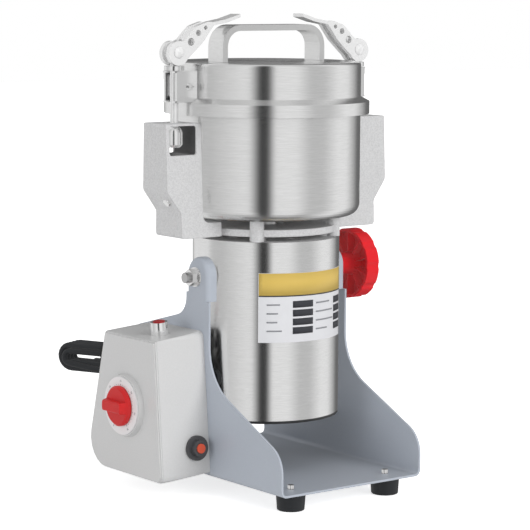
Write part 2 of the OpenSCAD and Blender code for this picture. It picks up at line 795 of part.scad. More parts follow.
// Circuit breaker: body, ring and neck
module breaker_body() color(dark_grey) placed() at_breaker() difference() {
    union() {
        block([-breaker_body_w / 2, -breaker_body_w / 2, -box_wall - seat_gap - breaker_body_h],
            [breaker_body_w / 2, breaker_body_w / 2, -box_wall - seat_gap]);
        bar_z(-box_wall - cut, breaker_ring_t + breaker_neck_h, breaker_neck_r);
        bar_z(seat_gap, breaker_ring_t, breaker_ring_r);
    }
    bar_z(reset_foot, breaker_ring_t + breaker_neck_h + cut, reset_r + run_gap);
}
reset_rise = 0.9;
reset_foot = -2 * reset_travel - free_gap;
module reset_button() color(orange) placed() at_breaker()
    bar_z(reset_foot + reset_travel + free_gap, breaker_ring_t + breaker_neck_h + reset_rise, reset_r);

// Gland in the box's rear
gland_step = 1.5;
gland_head_h = 4;
gland_nose_h = 16;
module cord_gland() color(black) placed() at_gland() difference() {
    union() {
        bar_z(-box_wall - gland_step, gland_head_h, gland_r - gland_step);
        bar_z(seat_gap, gland_head_h, gland_r);
        translate([0, 0, gland_head_h])
            cylinder(h = gland_nose_h - gland_head_h, r1 = gland_r - gland_step, r2 = cord_r + gland_step);
    }
    bar_z(-box_wall - gland_step - cut, gland_nose_h + cut, cord_r + seat_gap);
}

// Power cord, tied in a hank
cord_r = 2.2;
hank_centre = [-93.5, 100.5, 93.5];
hank_turn = 25;
hank_l = 40;
hank_r = 9.5;
hank_layer = 4.6;
hank_pitch = 4.95;
hank_loops = 4;
loop_rings = 24;
// Directions of the hank: its long way, across it, and up
hank_e = [-sin(hank_turn), cos(hank_turn), 0];
hank_m = [cos(hank_turn), sin(hank_turn), 0];
up = [0, 0, 1];
// A place in the hank: along it, up it, across it
function hank_place(e, z, m) = hank_centre + e * hank_e + z * up + m * hank_m;
// Point q of a loop of radius r: a bend at the far end, then a bend at the near end
function loop_point(q, r, m) =
    let (
        far = q < loop_rings / 2,
        step = 180 / (loop_rings / 2 - 1),
        a = far ? -90 + step * q : 90 + step * (q - loop_rings / 2)
    )
    hank_place((far ? 1 : -1) * hank_l / 2 + r * cos(a), r * sin(a), m);
// Offset across the hank after t loops: out in the outer layer and back in the inner
function hank_offset(t) = hank_pitch * (t < hank_loops ? hank_loops / 2 - t : t - hank_loops * 1.5);
hank_points = [
    hank_place(0, -hank_r, hank_offset(0)),
    for (i = [0:2 * hank_loops - 1], q = [0:loop_rings - 1])
        loop_point(q, i < hank_loops ? hank_r : hank_layer, hank_offset(i + q / loop_rings)),
    hank_place(0, -hank_layer, hank_offset(2 * hank_loops))
];
// Least gap between strands, from places along them, without a strand's own neighbours
gap_steps = 3;
gap_skip = 30;
fine = [for (i = [0:len(hank_points) - 2], j = [0:gap_steps - 1])
    hank_points[i] + (hank_points[i + 1] - hank_points[i]) * j / gap_steps];
function least_gap() = min([
    for (i = [0:2:len(fine) - 1]) for (j = [i + gap_skip:1:min(len(fine) - 1, i + 6 * loop_rings)])
        norm(fine[i] - fine[j])
]) - 2 * cord_r;
echo(hank_gap = least_gap());

// A closed tube along points, its rings turned from the direction ref
tube_sides = 6;
module tube(points, r, ref, sides = tube_sides) {
    n = len(points);
    function tangent(i) = unit(points[min(i + 1, n - 1)] - points[max(i - 1, 0)]);
    verts = [for (i = [0:n - 1])
        let (t = tangent(i), u = unit(ref - (ref * t) * t), v = cross(t, u))
        for (k = [0:sides - 1]) points[i] + r * (cos(360 * k / sides) * u + sin(360 * k / sides) * v)
    ];
    sides_faces = [for (i = [0:n - 2], k = [0:sides - 1]) let (m = (k + 1) % sides) each [
        [i * sides + k, (i + 1) * sides + k, i * sides + m],
        [i * sides + m, (i + 1) * sides + k, (i + 1) * sides + m]
    ]];
    end_faces = [for (k = [1:sides - 2]) each [
        [0, k, k + 1],
        [(n - 1) * sides, (n - 1) * sides + k + 1, (n - 1) * sides + k]
    ]];
    polyhedron(points = verts, faces = concat(sides_faces, end_faces));
}
module cord_hank() color(black) placed() tube(hank_points, cord_r, hank_m);

// Routes of the cord to the hank and to the plug, with straight ends
gland_way = [0, cos(rear_lean), sin(rear_lean)];
gland_exit = [gland_x, gland_y, gland_z] + (gland_nose_h - gland_step) * gland_way;
plug_top = [-60.6, 118, 56];
cord_steps = 14;
function cord_path(a, way_a, b, way_b, reach_a, reach_b) = concat([a + seat_gap * way_a],
    [for (i = [0:cord_steps]) let (t = i / cord_steps, s = 1 - t)
        s * s * s * (a + way_a) + 3 * s * s * t * (a + reach_a * way_a)
        + 3 * s * t * t * (b - reach_b * way_b) + t * t * t * (b - way_b)],
    [b - seat_gap * way_b]);
cord_sides = 10;
module power_cord() color(black) placed() {
    tube(cord_path(gland_exit, gland_way, hank_points[0], hank_e, 14, 14), cord_r, hank_m, cord_sides);
    tube(cord_path(hank_points[len(hank_points) - 1], hank_e, plug_top, -up, 19, 32), cord_r,
        [0.3, 1, 0.2], cord_sides);
}
tie_l = 8;
tie_t = 1;
tie_e = -12;
tie_r = 2.5;
tie_half_z = hank_r + cord_r + seat_gap;
tie_half_m = hank_pitch * hank_loops / 2 + cord_r + seat_gap;
function tie_outline(grow) = rounded([
    [-tie_half_m - grow, -tie_half_z - grow, tie_r + grow],
    [tie_half_m + grow, -tie_half_z - grow, tie_r + grow],
    [tie_half_m + grow, tie_half_z + grow, tie_r + grow],
    [-tie_half_m - grow, tie_half_z + grow, tie_r + grow]
]);
module cord_tie() color(black) placed() translate(hank_place(tie_e, 0, 0)) rotate([90, 0, hank_turn])
    difference() {
        linear_extrude(tie_l) polygon(tie_outline(tie_t));
        translate([0, 0, -cut]) linear_extrude(tie_l + 2 * cut) polygon(tie_outline(0));
    }
// Plug, hanging with its two pins down
plug_neck_h = 8;
plug_body_h = 22;
plug_r = 10;
plug_w = 14;
pin_l = 19;
plug_pin_r = 2.4;
pin_space = 19;
module power_plug() color(black) placed() translate(plug_top) {
    translate([0, 0, -plug_neck_h]) cylinder(h = plug_neck_h - seat_gap, r1 = 1.9 * cord_r, r2 = 1.3 * cord_r);
    intersection() {
        translate([0, 0, -plug_neck_h - plug_body_h]) cylinder(h = plug_body_h, r1 = 1.4 * plug_r, r2 = plug_r);
        block([-2 * plug_r, -plug_w / 2, -plug_neck_h - plug_body_h], [2 * plug_r, plug_w / 2, 0]);
    }
    for (x = [-pin_space / 2, pin_space / 2]) translate([x, 0, 0])
        bar_z(-plug_neck_h - plug_body_h - pin_l, -plug_neck_h - plug_body_h + cut, plug_pin_r);
}

// Motor tube
grommet_hole_r = 0.72 * grommet_r;
module at_grommet() {
    translate([0, 0, grommet_z]) rotate([0, 0, 180 + grommet_angle]) children();
}
module motor_housing() color(steel) placed() difference() {
    bar_z(tube_z, tube_top_z, tube_r);
    bar_z(tube_z - cut, tube_top_z + cut, tube_r - tube_wall);
    translate([0, 0, pivot_z]) bar_x(-tube_r - cut, tube_r + cut, stud_r + seat_gap);
    at_grommet() bar_x(tube_r / 2, tube_r + cut, grommet_hole_r + seat_gap);
    for (a = case_screw_angles) rotate([0, 0, a]) translate([0, 0, tube_z + spigot_h / 2])
        bar_x(tube_r / 2, tube_r + cut, case_screw_r + seat_gap);
}
spigot_h = 8;
case_screw_angles = [90:120:330];
case_screw_r = 1.5;

// Bottom cover with a ring of cooling slots
vent_count = 20;
vent_w = 4;
vent_in_r = 16;
module housing_cover() color(black) placed() difference() {
    union() {
        bar_z(tube_z - cover_drop, tube_z - seat_gap, tube_r - seat_gap);
        bar_z(tube_z - seat_gap, tube_z + spigot_h, tube_r - tube_wall - seat_gap);
    }
    bar_z(tube_z, tube_z + spigot_h + cut, tube_r - 2 * tube_wall - seat_gap);
    for (i = [0:vent_count - 1]) rotate([0, 0, 360 * i / vent_count])
        block([vent_in_r, -vent_w / 2, tube_z - cover_drop - cut],
            [tube_r - 4 * tube_wall, vent_w / 2, tube_z + cut]);
}

module housing_grommet() color(black) placed() at_grommet() difference() {
    union() {
        bar_x(tube_r - 2 * tube_wall, tube_r + tube_wall, grommet_hole_r);
        difference() {
            bar_x(tube_r / 2, tube_r + 1.4 * tube_wall, grommet_r);
            translate([0, 0, -grommet_r - cut])
                cylinder(h = 2 * grommet_r + 2 * cut, r = tube_r + seat_gap);
        }
    }
    bar_x(tube_r / 2, tube_r + 2 * tube_wall, grommet_hole_r / 2);
}

label_t = 0.25;
module rating_label() color(white) placed() intersection() {
    difference() {
        bar_z(label_z, label_z + label_h, tube_r + seat_gap / 2 + label_t);
        bar_z(label_z - cut, label_z + label_h + cut, tube_r + seat_gap / 2);
    }
    translate([0, 0, label_z - cut]) linear_extrude(label_h + 2 * cut) polygon([
        [0, 0],
        2 * tube_r * [-sin(label_angle), -cos(label_angle)],
        2 * tube_r * [sin(label_angle), -cos(label_angle)]
    ]);
}

// Carrier: closes the tube's top, holds the upper bearing, and carries the bowl and the arms
upper_bearing_r = 2.34 * shaft_r;
upper_bearing_h = 11;
lower_bearing_r = 2.75 * tail_r;
lower_bearing_h = 7;
hub_wall = 5;
register_h = 8;
register_r = tube_r - tube_wall - seat_gap;
hub_bottom_z = tube_top_z - 1.1 * upper_bearing_h;
arm_in = bowl_r + arm_gap;
arm_plate_t = 1.8;
arm_window_l = 24.6;
arm_window_h = 22;
arm_window_in = arm_in + 0.2 * arm_window_l;
arm_window_z = arm_top_z - arm_plate_t - arm_window_h;
arm_fillet_r = 5.7;
arm_corner_r = 3;
arm_edge_r = 2;
arm_wall = 3;
arm_front = arm_half_w + arm_draft;
arm_rear = arm_rear_w + arm_draft / 2;
// Side view of an arm: Y, Z
arm_side = [[-arm_front, ring_z], [arm_rear, ring_z], [arm_rear_w, arm_top_z], [-arm_half_w, arm_top_z]];
arm_outline = rounded([
    [arm_toe, ring_z, 1],
    [arm_foot_reach, ring_z, arm_corner_r],
    [arm_foot_reach, arm_hip_z, 2 * arm_corner_r],
    [arm_reach, arm_waist_z, 2 * arm_corner_r],
    [arm_reach, arm_top_z, 1],
    [arm_in, arm_top_z, arm_corner_r],
    [arm_in, ring_z + arm_foot_t, arm_fillet_r],
    [arm_toe, ring_z + arm_foot_t, 1]
]);
arm_window = rounded([
    [arm_window_in, arm_window_z, arm_edge_r],
    [arm_window_in + arm_window_l, arm_window_z, arm_edge_r],
    [arm_window_in + arm_window_l, arm_window_z + arm_window_h, arm_edge_r],
    [arm_window_in, arm_window_z + arm_window_h, arm_edge_r]
]);
air_holes = 8;
air_hole_r = 6;
air_ring_r = 0.72 * (tube_r - tube_wall - stator_gap);
stator_r = tube_r - tube_wall - stator_gap;
bolt_ring_r = 0.9 * stator_r;
bolt_r = 2.5;
bowl_screw_l = 14;
neck_gap = ring_z - tube_top_z;
swing_play = 0.5;
// Height of a latch rod's swing axis
swing_z = arm_top_z - arm_plate_t - swing_play - round_nut_r;
rod_slot_in = rod_x - rod_r - free_gap;
rod_slot_out = rod_x + rod_r + (arm_top_z - swing_z) * tan(rod_swing) + free_gap;
arm_screw_r = 1.6;
arm_screw_head_r = 3;
arm_screw_l = 9;
arm_screw_y = 4 * arm_screw_r - arm_half_w;
rod_slot_r = rod_r + free_gap;
bowl_screw_r = 2.5;
seal_drop = 2;
module carrier_casting() color(cast_silver) placed() difference() {
    union() {
        bar_z(tube_top_z - register_h, tube_top_z, register_r);
        bar_z(hub_bottom_z, ring_z + cut, upper_bearing_r + hub_wall);
        bar_z(ring_z, ring_z + ring_t, ring_r);
        at_diagonals(pillar_ring_r) bar_z(tube_top_z + seat_gap, bowl_z - seat_gap, pillar_r);
        at_diagonals(bolt_ring_r) bar_z(tube_top_z - register_h, ring_z + cut, pillar_r);
        both_sides() {
            intersection() {
                along_y(-arm_front, arm_rear) polygon(arm_outline);
                along_x(arm_toe, arm_reach) polygon(arm_side);
            }
            block([ring_r / 2, -arm_rear_w, ring_z], [arm_toe + arm_corner_r, arm_rear_w, ring_z + ring_t]);
        }
    }
    bar_z(hub_bottom_z - cut, hub_bottom_z + upper_bearing_h, upper_bearing_r + seat_gap);
    bar_z(hub_bottom_z - cut, ring_z + ring_t + cut, shaft_r + 3 * free_gap);
    bar_z(ring_z + ring_t - seal_drop, ring_z + ring_t + cut, seal_r + free_gap);
    for (i = [0:air_holes - 1]) rotate([0, 0, 360 * i / air_holes])
        translate([air_ring_r, 0, 0])
            bar_z(tube_top_z - register_h - cut, tube_top_z + cut, air_hole_r);
    at_diagonals(bolt_ring_r)
        bar_z(tube_top_z - register_h - cut, tube_top_z + neck_gap / 2, bolt_r + seat_gap);
    at_diagonals(pillar_ring_r)
        bar_z(bowl_z - bowl_screw_l, bowl_z + cut, bowl_screw_r + seat_gap);
    for (side = [-1, 1]) on_side(side)
        along_y(side > 0 ? -arm_front - cut : arm_wall - arm_half_w, arm_rear + cut) polygon(arm_window);
    both_sides() hull() for (x = [rod_slot_in + rod_slot_r, rod_slot_out - rod_slot_r])
        translate([x, 0, 0]) bar_z(arm_window_z + arm_window_h - cut, arm_top_z + cut, rod_slot_r);
    both_sides() at_arm_slope() bar_z(-arm_screw_l, cut, arm_screw_r + seat_gap);
}
// On the slope under an arm, with +Z outwards
module at_arm_slope() {
    translate([(arm_reach + arm_foot_reach) / 2, arm_screw_y, (arm_waist_z + arm_hip_z) / 2])
        rotate([0, 90 + atan((arm_reach - arm_foot_reach) / (arm_waist_z - arm_hip_z)), 0]) children();
}

module arm_screws() both_sides() at_arm_slope() {
    bar_z(seat_gap - arm_screw_l, 2 * seat_gap, arm_screw_r);
    bar_z(seat_gap, arm_screw_r, arm_screw_head_r);
}

// Lower bracket with its bearing, held to the carrier by four through bolts
fan_h = 8;
bracket_low_z = tube_z + 1.75 * fan_h;
bracket_low_t = 8;
bolt_head_r = 4.2;
bolt_head_t = 3;
module lower_bracket() color(cast_silver) placed() difference() {
    bar_z(bracket_low_z, bracket_low_z + bracket_low_t, register_r);
    bar_z(bracket_low_z - cut, bracket_low_z + lower_bearing_h, lower_bearing_r + seat_gap);
    bar_z(bracket_low_z - cut, bracket_low_z + bracket_low_t + cut, tail_r + 3 * free_gap);
    for (i = [0:air_holes - 1]) rotate([0, 0, 360 * (i + 0.5) / air_holes])
        translate([air_ring_r, 0, 0])
            bar_z(bracket_low_z - cut, bracket_low_z + bracket_low_t + cut, air_hole_r);
    at_diagonals(bolt_ring_r)
        bar_z(bracket_low_z - cut, bracket_low_z + bracket_low_t + cut, bolt_r + seat_gap);
}

module through_bolts() color(steel) placed() at_diagonals(bolt_ring_r) {
    bar_z(bracket_low_z - seat_gap - bolt_head_t, bracket_low_z - seat_gap, bolt_head_r);
    bar_z(bracket_low_z - seat_gap, tube_top_z + neck_gap / 2 - seat_gap, bolt_r);
}

// Stator: a ring with two wound poles
bore_r = armature_r + air_gap;
slot_in_r = bore_r + 0.14 * (stator_r - bore_r);
slot_out_r = bore_r + 0.56 * (stator_r - bore_r);
slot_angle = 60;
slot_half = 9;
coil_end_h = 7;
module wedge(from, to, z0, z1) {
    translate([0, 0, z0]) linear_extrude(z1 - z0) polygon([
        [0, 0],
        2 * stator_r * [cos(from), sin(from)],
        2 * stator_r * [cos((from + to) / 2), sin((from + to) / 2)],
        2 * stator_r * [cos(to), sin(to)]
    ]);
}
// A piece of a tube between two angles
module tube_sector(r_in, r_out, from, to, z0, z1) {
    intersection() {
        difference() {
            bar_z(z0, z1, r_out);
            bar_z(z0 - cut, z1 + cut, r_in);
        }
        wedge(from, to, z0 - cut, z1 + cut);
    }
}
module stator_core() color(iron) placed() difference() {
    bar_z(stack_z, stack_z + stack_h, stator_r);
    bar_z(stack_z - cut, stack_z + stack_h + cut, bore_r);
    for (pole = [90, 270], side = [-1, 1]) tube_sector(slot_in_r, slot_out_r,
        pole + side * slot_angle - slot_half, pole + side * slot_angle + slot_half,
        stack_z - cut, stack_z + stack_h + cut);
    at_diagonals(bolt_ring_r) bar_z(stack_z - cut, stack_z + stack_h + cut, bolt_r + seat_gap);
}
module stator_coils() color(copper) placed() for (pole = [90, 270]) {
    for (side = [-1, 1]) tube_sector(slot_in_r + seat_gap, slot_out_r - seat_gap,
        pole + side * slot_angle - slot_half * 0.9, pole + side * slot_angle + slot_half * 0.9,
        stack_z - coil_end_h, stack_z + stack_h + coil_end_h);
    for (z = [stack_z - coil_end_h, stack_z + stack_h + seat_gap])
        tube_sector(slot_in_r + seat_gap, slot_out_r - seat_gap,
            pole - slot_angle - slot_half * 0.9, pole + slot_angle + slot_half * 0.9,
            z, z + coil_end_h - seat_gap);
}

module bearings() color(bright) placed() {
    difference() {
        bar_z(hub_bottom_z, hub_bottom_z + upper_bearing_h - seat_gap, upper_bearing_r);
        bar_z(hub_bottom_z - cut, hub_bottom_z + upper_bearing_h + cut, shaft_r + run_gap);
    }
    difference() {
        bar_z(bracket_low_z, bracket_low_z + lower_bearing_h - seat_gap, lower_bearing_r);
        bar_z(bracket_low_z - cut, bracket_low_z + lower_bearing_h + cut, tail_r + run_gap);
    }
}

// Brushes and their holders, standing on the lower bracket
brush_w = 6;
brush_h = 9;
brush_z = bracket_low_z + bracket_low_t + brush_h;
brush_wall = 1.6;
brush_gap = 0.4;
brush_l = 14;
holder_l = 22;
module brush_holders() color(brass_tone) placed() for (turn = [0, 180]) rotate([0, 0, turn])
    difference() {
        block([1.17 * commutator_r, -brush_w / 2 - brush_wall, bracket_low_z + bracket_low_t + seat_gap],
            [1.17 * commutator_r + holder_l, brush_w / 2 + brush_wall, brush_z + brush_h / 2 + brush_wall]);
        block([commutator_r, -brush_w / 2 - seat_gap, brush_z - brush_h / 2 - seat_gap],
            [commutator_r + holder_l, brush_w / 2 + seat_gap, brush_z + brush_h / 2 + seat_gap]);
    }
brass_tone = [0.80, 0.65, 0.35];
module carbon_brushes() color(dark_grey) placed() for (turn = [0, 180]) rotate([0, 0, turn])
    difference() {
        block([0, -brush_w / 2, brush_z - brush_h / 2],
            [commutator_r + brush_l, brush_w / 2, brush_z + brush_h / 2]);
        bar_z(brush_z - brush_h, brush_z + brush_h, commutator_r + brush_gap);
    }

// Rotor: shaft, armature, commutator, fan and blades
core_shaft_r = 0.8 * shaft_r;
tail_z = tube_z + 0.4 * fan_h;
tail_top_z = bracket_low_z + 1.25 * bracket_low_t;
shaft_step_z = hub_bottom_z - hub_wall;
shoulder_top_z = bowl_z + shaft_r;
lower_blade_z = shoulder_top_z + seat_gap;
spacer_z = lower_blade_z + blade_t + seat_gap;
upper_blade_z = spacer_z + blade_gap;
blade_nut_z = upper_blade_z + blade_t + seat_gap;
blade_nut_h = 8;
blade_nut_af = 17;
shaft_top_z = blade_nut_z + 1.25 * blade_nut_h;
spacer_r = 9;
module motor_shaft() color(steel) placed() {
    bar_z(tail_z, tail_top_z + cut, tail_r);
    bar_z(tail_top_z, shaft_step_z + cut, core_shaft_r);
    bar_z(shaft_step_z, shoulder_top_z, shaft_r);
    bar_z(shoulder_top_z - cut, shaft_top_z, arbor_r);
}
winding_r = 0.85 * armature_r;
winding_h = 5;
armature_slots = 12;
armature_slot_w = 2.2;
armature_slot_d = 3;
commutator_z = bracket_low_z + 1.5 * bracket_low_t;
commutator_h = 14;
commutator_bars = 16;
commutator_slit = 0.5;
module armature() color(iron) placed() difference() {
    union() {
        bar_z(stack_z, stack_z + stack_h, armature_r);
        bar_z(commutator_z + commutator_h + seat_gap, stack_z + stack_h + winding_h, winding_r);
    }
    bar_z(commutator_z, stack_z + stack_h + winding_h + cut, core_shaft_r + seat_gap);
    for (i = [0:armature_slots - 1]) rotate([0, 0, 360 * i / armature_slots])
        block([armature_r - armature_slot_d, -armature_slot_w / 2, stack_z - cut],
            [armature_r + cut, armature_slot_w / 2, stack_z + stack_h + cut]);
}
module commutator() color(copper) placed() difference() {
    bar_z(commutator_z, commutator_z + commutator_h, commutator_r);
    bar_z(commutator_z - cut, commutator_z + commutator_h + cut, core_shaft_r + seat_gap);
    for (i = [0:commutator_bars - 1]) rotate([0, 0, 360 * (i + 0.5) / commutator_bars])
        block([commutator_r - 2 * commutator_slit, -commutator_slit / 2, commutator_z - cut],
            [commutator_r + cut, commutator_slit / 2, commutator_z + commutator_h + cut]);
}
fan_z = tube_z + fan_h / 2;
fan_t = 1.6;
module cooling_fan() color(black) placed() difference() {
    union() {
        bar_z(fan_z, fan_z + fan_t, fan_r);
        bar_z(fan_z, fan_z + fan_h, 2 * tail_r);
        for (i = [0:fan_blades - 1]) rotate([0, 0, 360 * i / fan_blades])
            block([tail_r + fan_t, -fan_t / 2, fan_z], [fan_r - fan_t, fan_t / 2, fan_z + fan_h]);
    }
    bar_z(fan_z - cut, fan_z + fan_h + cut, tail_r + seat_gap);
}

// A blade with bevelled leading edges: its width narrows to the tips, which sweep back
blade_tip_share = 0.62;
blade_bevel_w = 5;
blade_edge_t = 0.6;
module blade(l, z) {
    difference() {
        intersection() {
            translate([0, 0, z]) linear_extrude(blade_t) polygon([
                [l / 2, -blade_w / 2 * blade_tip_share],
                [l / 2 - blade_bevel_w, blade_w / 2 * blade_tip_share],
                [blade_w / 2, blade_w / 2],
                [-blade_w / 2, blade_w / 2],
                [-l / 2, blade_w / 2 * blade_tip_share],
                [-l / 2 + blade_bevel_w, -blade_w / 2 * blade_tip_share],
                [-blade_w / 2, -blade_w / 2],
                [blade_w / 2, -blade_w / 2]
            ]);
            bar_z(z - cut, z + blade_t + cut, l / 2);
        }
        bar_z(z - cut, z + blade_t + cut, arbor_r + seat_gap);
        for (turn = [0, 180]) rotate([0, 0, turn]) translate([spacer_r + blade_t, 0, z])
            rotate([90, 0, 90]) linear_extrude(l) polygon([
                [blade_w * blade_tip_share / 2 - blade_bevel_w, blade_t],
                [blade_w / 2 + cut, blade_edge_t * blade_tip_share],
                [blade_w / 2 + cut, blade_t + cut],
                [blade_w * blade_tip_share / 2 - blade_bevel_w, blade_t + cut]
            ]);
    }
}
module lower_blade() color(bright) placed() blade(lower_blade_l, lower_blade_z);
module upper_blade() color(bright) placed() rotate([0, 0, 90]) blade(upper_blade_l, upper_blade_z);
module blade_spacer() color(bright) placed() difference() {
    bar_z(spacer_z, upper_blade_z - seat_gap, spacer_r);
    bar_z(spacer_z - cut, upper_blade_z + cut, arbor_r + seat_gap);
}
module blade_nut() color(bright) placed() difference() {
    translate([0, 0, blade_nut_z]) cylinder(h = blade_nut_h, r = blade_nut_af / 2 / cos(30), $fn = 6);
    bar_z(blade_nut_z - cut, blade_nut_z + blade_nut_h + cut, arbor_r + seat_gap);
}

// Bowl
seal_r = 13;
seal_flange_r = 17;
seal_flange_t = 2;
bowl_in_r = bowl_r - bowl_wall;
floor_top_z = bowl_z + floor_t;
bowl_outline = rounded([
    [seal_r + seat_gap, bowl_z, 0],
    [bowl_r, bowl_z, bowl_corner_r],
    [bowl_r, rim_z - rim_t, 0],
    [bowl_r + rim_out, rim_z - rim_t, 0],
    [bowl_r + rim_out, rim_z, 0],
    [bowl_in_r, rim_z, 0],
    [bowl_in_r, floor_top_z, bowl_corner_r - bowl_wall],
    [seal_r + seat_gap, floor_top_z, 0]
], 8);
countersink_r = 4.6;
module bowl() color(steel) placed() difference() {
    rotate_extrude() polygon(bowl_outline);
    at_diagonals(pillar_ring_r) {
        bar_z(bowl_z - cut, floor_top_z + cut, bowl_screw_r + seat_gap);
        translate([0, 0, floor_top_z - floor_t]) cylinder(h = floor_t + seat_gap,
            r1 = bowl_screw_r + seat_gap, r2 = countersink_r + 2 * seat_gap);
    }
}
module bowl_screws() color(bright) placed() at_diagonals(pillar_ring_r) {
    bar_z(bowl_z - bowl_screw_l + seat_gap, floor_top_z - seat_gap, bowl_screw_r);
    translate([0, 0, floor_top_z - floor_t + seat_gap])
        cylinder(h = floor_t - seat_gap, r1 = bowl_screw_r, r2 = countersink_r);
}
module shaft_seal() color(black) placed() difference() {
    union() {
        bar_z(bowl_z - seal_flange_t, floor_top_z + seat_gap + seal_flange_t, seal_r);
        bar_z(floor_top_z + seat_gap, floor_top_z + seat_gap + seal_flange_t, seal_flange_r);
    }
    bar_z(bowl_z - cut - seal_flange_t, floor_top_z + 2 * seal_flange_t + cut, shaft_r + run_gap);
}

// Lid: a top, a wall, a step and a skirt over the bowl's rim
skirt_top_z = skirt_z + skirt_h;
step_top_z = skirt_top_z + lid_step;
lid_edge_r = 2.4;
// The lid's outside, or its inside when inset by its wall
function lid_outline(inset, edge_r) = rounded([
    [0, lid_top_z - inset, 0],
    [lid_r - inset, lid_top_z - inset, edge_r],
    [lid_r - inset, step_top_z - inset / 2, 0],
    [skirt_r - inset, skirt_top_z - inset / 2, 0],
    [skirt_r - inset, skirt_z - sign(inset) * cut, 0],
    [0, skirt_z - sign(inset) * cut, 0]
]);
lug_block_in = lid_r - bowl_wall / 2;
lug_block_out = rod_x - 1.5 * rod_r;
lug_block_w = bracket_w / 2 - bracket_t - seat_gap;
lug_block_low_z = bracket_z + 3 * plate_t;
lug_block_top_z = bracket_top_z - 3 * plate_t;
bracket_screw_r = 1.6;
bracket_screw_x = (lid_r + lug_block_out) / 2 + bracket_screw_r / 2;
bracket_screw_z = (bracket_z + bracket_top_z) / 2;
module lid() color(steel) placed() difference() {
    union() {
        difference() {
            rotate_extrude() polygon(lid_outline(0, lid_edge_r));
            rotate_extrude() polygon(lid_outline(bowl_wall, lid_edge_r - bowl_wall / 2));
        }
        both_sides() block([lug_block_in, -lug_block_w, lug_block_low_z],
            [lug_block_out, lug_block_w, lug_block_top_z]);
    }
    both_sides() translate([bracket_screw_x, 0, bracket_screw_z])
        bar_y(-bracket_w, bracket_w, bracket_screw_r + seat_gap);
}
gasket_in_r = bowl_in_r - bowl_wall / 3;
gasket_outline = [
    [gasket_in_r, rim_z + seat_gap],
    [skirt_r - bowl_wall - seat_gap, rim_z + seat_gap],
    [skirt_r - bowl_wall - seat_gap, skirt_top_z - bowl_wall],
    [lid_r - bowl_wall - seat_gap, step_top_z - bowl_wall],
    [gasket_in_r, step_top_z - bowl_wall]
];
module lid_gasket() color(white) placed() rotate_extrude() polygon(gasket_outline);

// Handle: a strap bent down into two legs that stand on the lid
handle_out = handle_l / 2;
handle_base_z = lid_top_z + seat_gap;
handle_outline = rounded([
    [-handle_out, handle_base_z, 0],
    [-handle_out, handle_top_z, handle_bend_r],
    [handle_out, handle_top_z, handle_bend_r],
    [handle_out, handle_base_z, 0],
    [handle_out - handle_t, handle_base_z, 0],
    [handle_out - handle_t, handle_top_z - handle_t, handle_bend_r - handle_t],
    [-handle_out + handle_t, handle_top_z - handle_t, handle_bend_r - handle_t],
    [-handle_out + handle_t, handle_base_z, 0]
], 8);
module lid_handle() color(steel) placed() along_y(-handle_w / 2, handle_w / 2) polygon(handle_outline);

// Lug brackets: two cheeks and two slotted plates round the rod, screwed to the lid's lug blocks
slot_half_w = rod_r + free_gap;
module lug_brackets() color(bright) placed() both_sides() difference() {
    union() {
        for (y = [-bracket_w / 2, bracket_w / 2 - bracket_t])
            block([lid_r - bowl_wall, y, bracket_z], [bracket_reach, y + bracket_t, bracket_top_z]);
        for (z = [bracket_z, bracket_top_z - plate_t])
            block([lid_r - bowl_wall, -bracket_w / 2 + bracket_t / 2, z],
                [bracket_reach + plate_t, bracket_w / 2 - bracket_t / 2, z + plate_t]);
    }
    rotate_extrude() polygon(lid_envelope);
    for (z = [bracket_z, bracket_top_z - plate_t])
        block([rod_x - rod_r - free_gap, -slot_half_w, z - cut],
            [bracket_reach + 2 * plate_t, slot_half_w, z + plate_t + cut]);
    translate([bracket_screw_x, 0, bracket_screw_z])
        bar_y(-bracket_w, bracket_w, bracket_screw_r + seat_gap);
}
lid_envelope = [
    [0, skirt_z],
    [skirt_r + seat_gap, skirt_z],
    [skirt_r + seat_gap, skirt_top_z + seat_gap / 2],
    [lid_r + seat_gap, step_top_z + seat_gap / 2],
    [lid_r + seat_gap, lid_top_z + cut],
    [0, lid_top_z + cut]
];
module bracket_screws() both_sides() for (turn = [0, 180])
    translate([bracket_screw_x, 0, bracket_screw_z]) rotate([0, 0, turn]) {
        bar_y(-bracket_w / 2 - seat_gap, -seat_gap, bracket_screw_r);
        difference() {
            bar_y(-bracket_w / 2 - seat_gap - bracket_head_t, -bracket_w / 2 - seat_gap, bracket_head_r);
            for (a = [0, 90]) rotate([0, a, 0])
                block([-bracket_head_r * cross_share, -bracket_w, -cross_w / 2],
                    [bracket_head_r * cross_share, -bracket_w / 2 - bracket_head_t / 2, cross_w / 2]);
        }
    }
module head_screws() color(bright) placed() {
    arm_screws();
    bracket_screws();
}
bracket_head_t = 1.6;
cross_share = 0.6;
cross_w = 0.8;

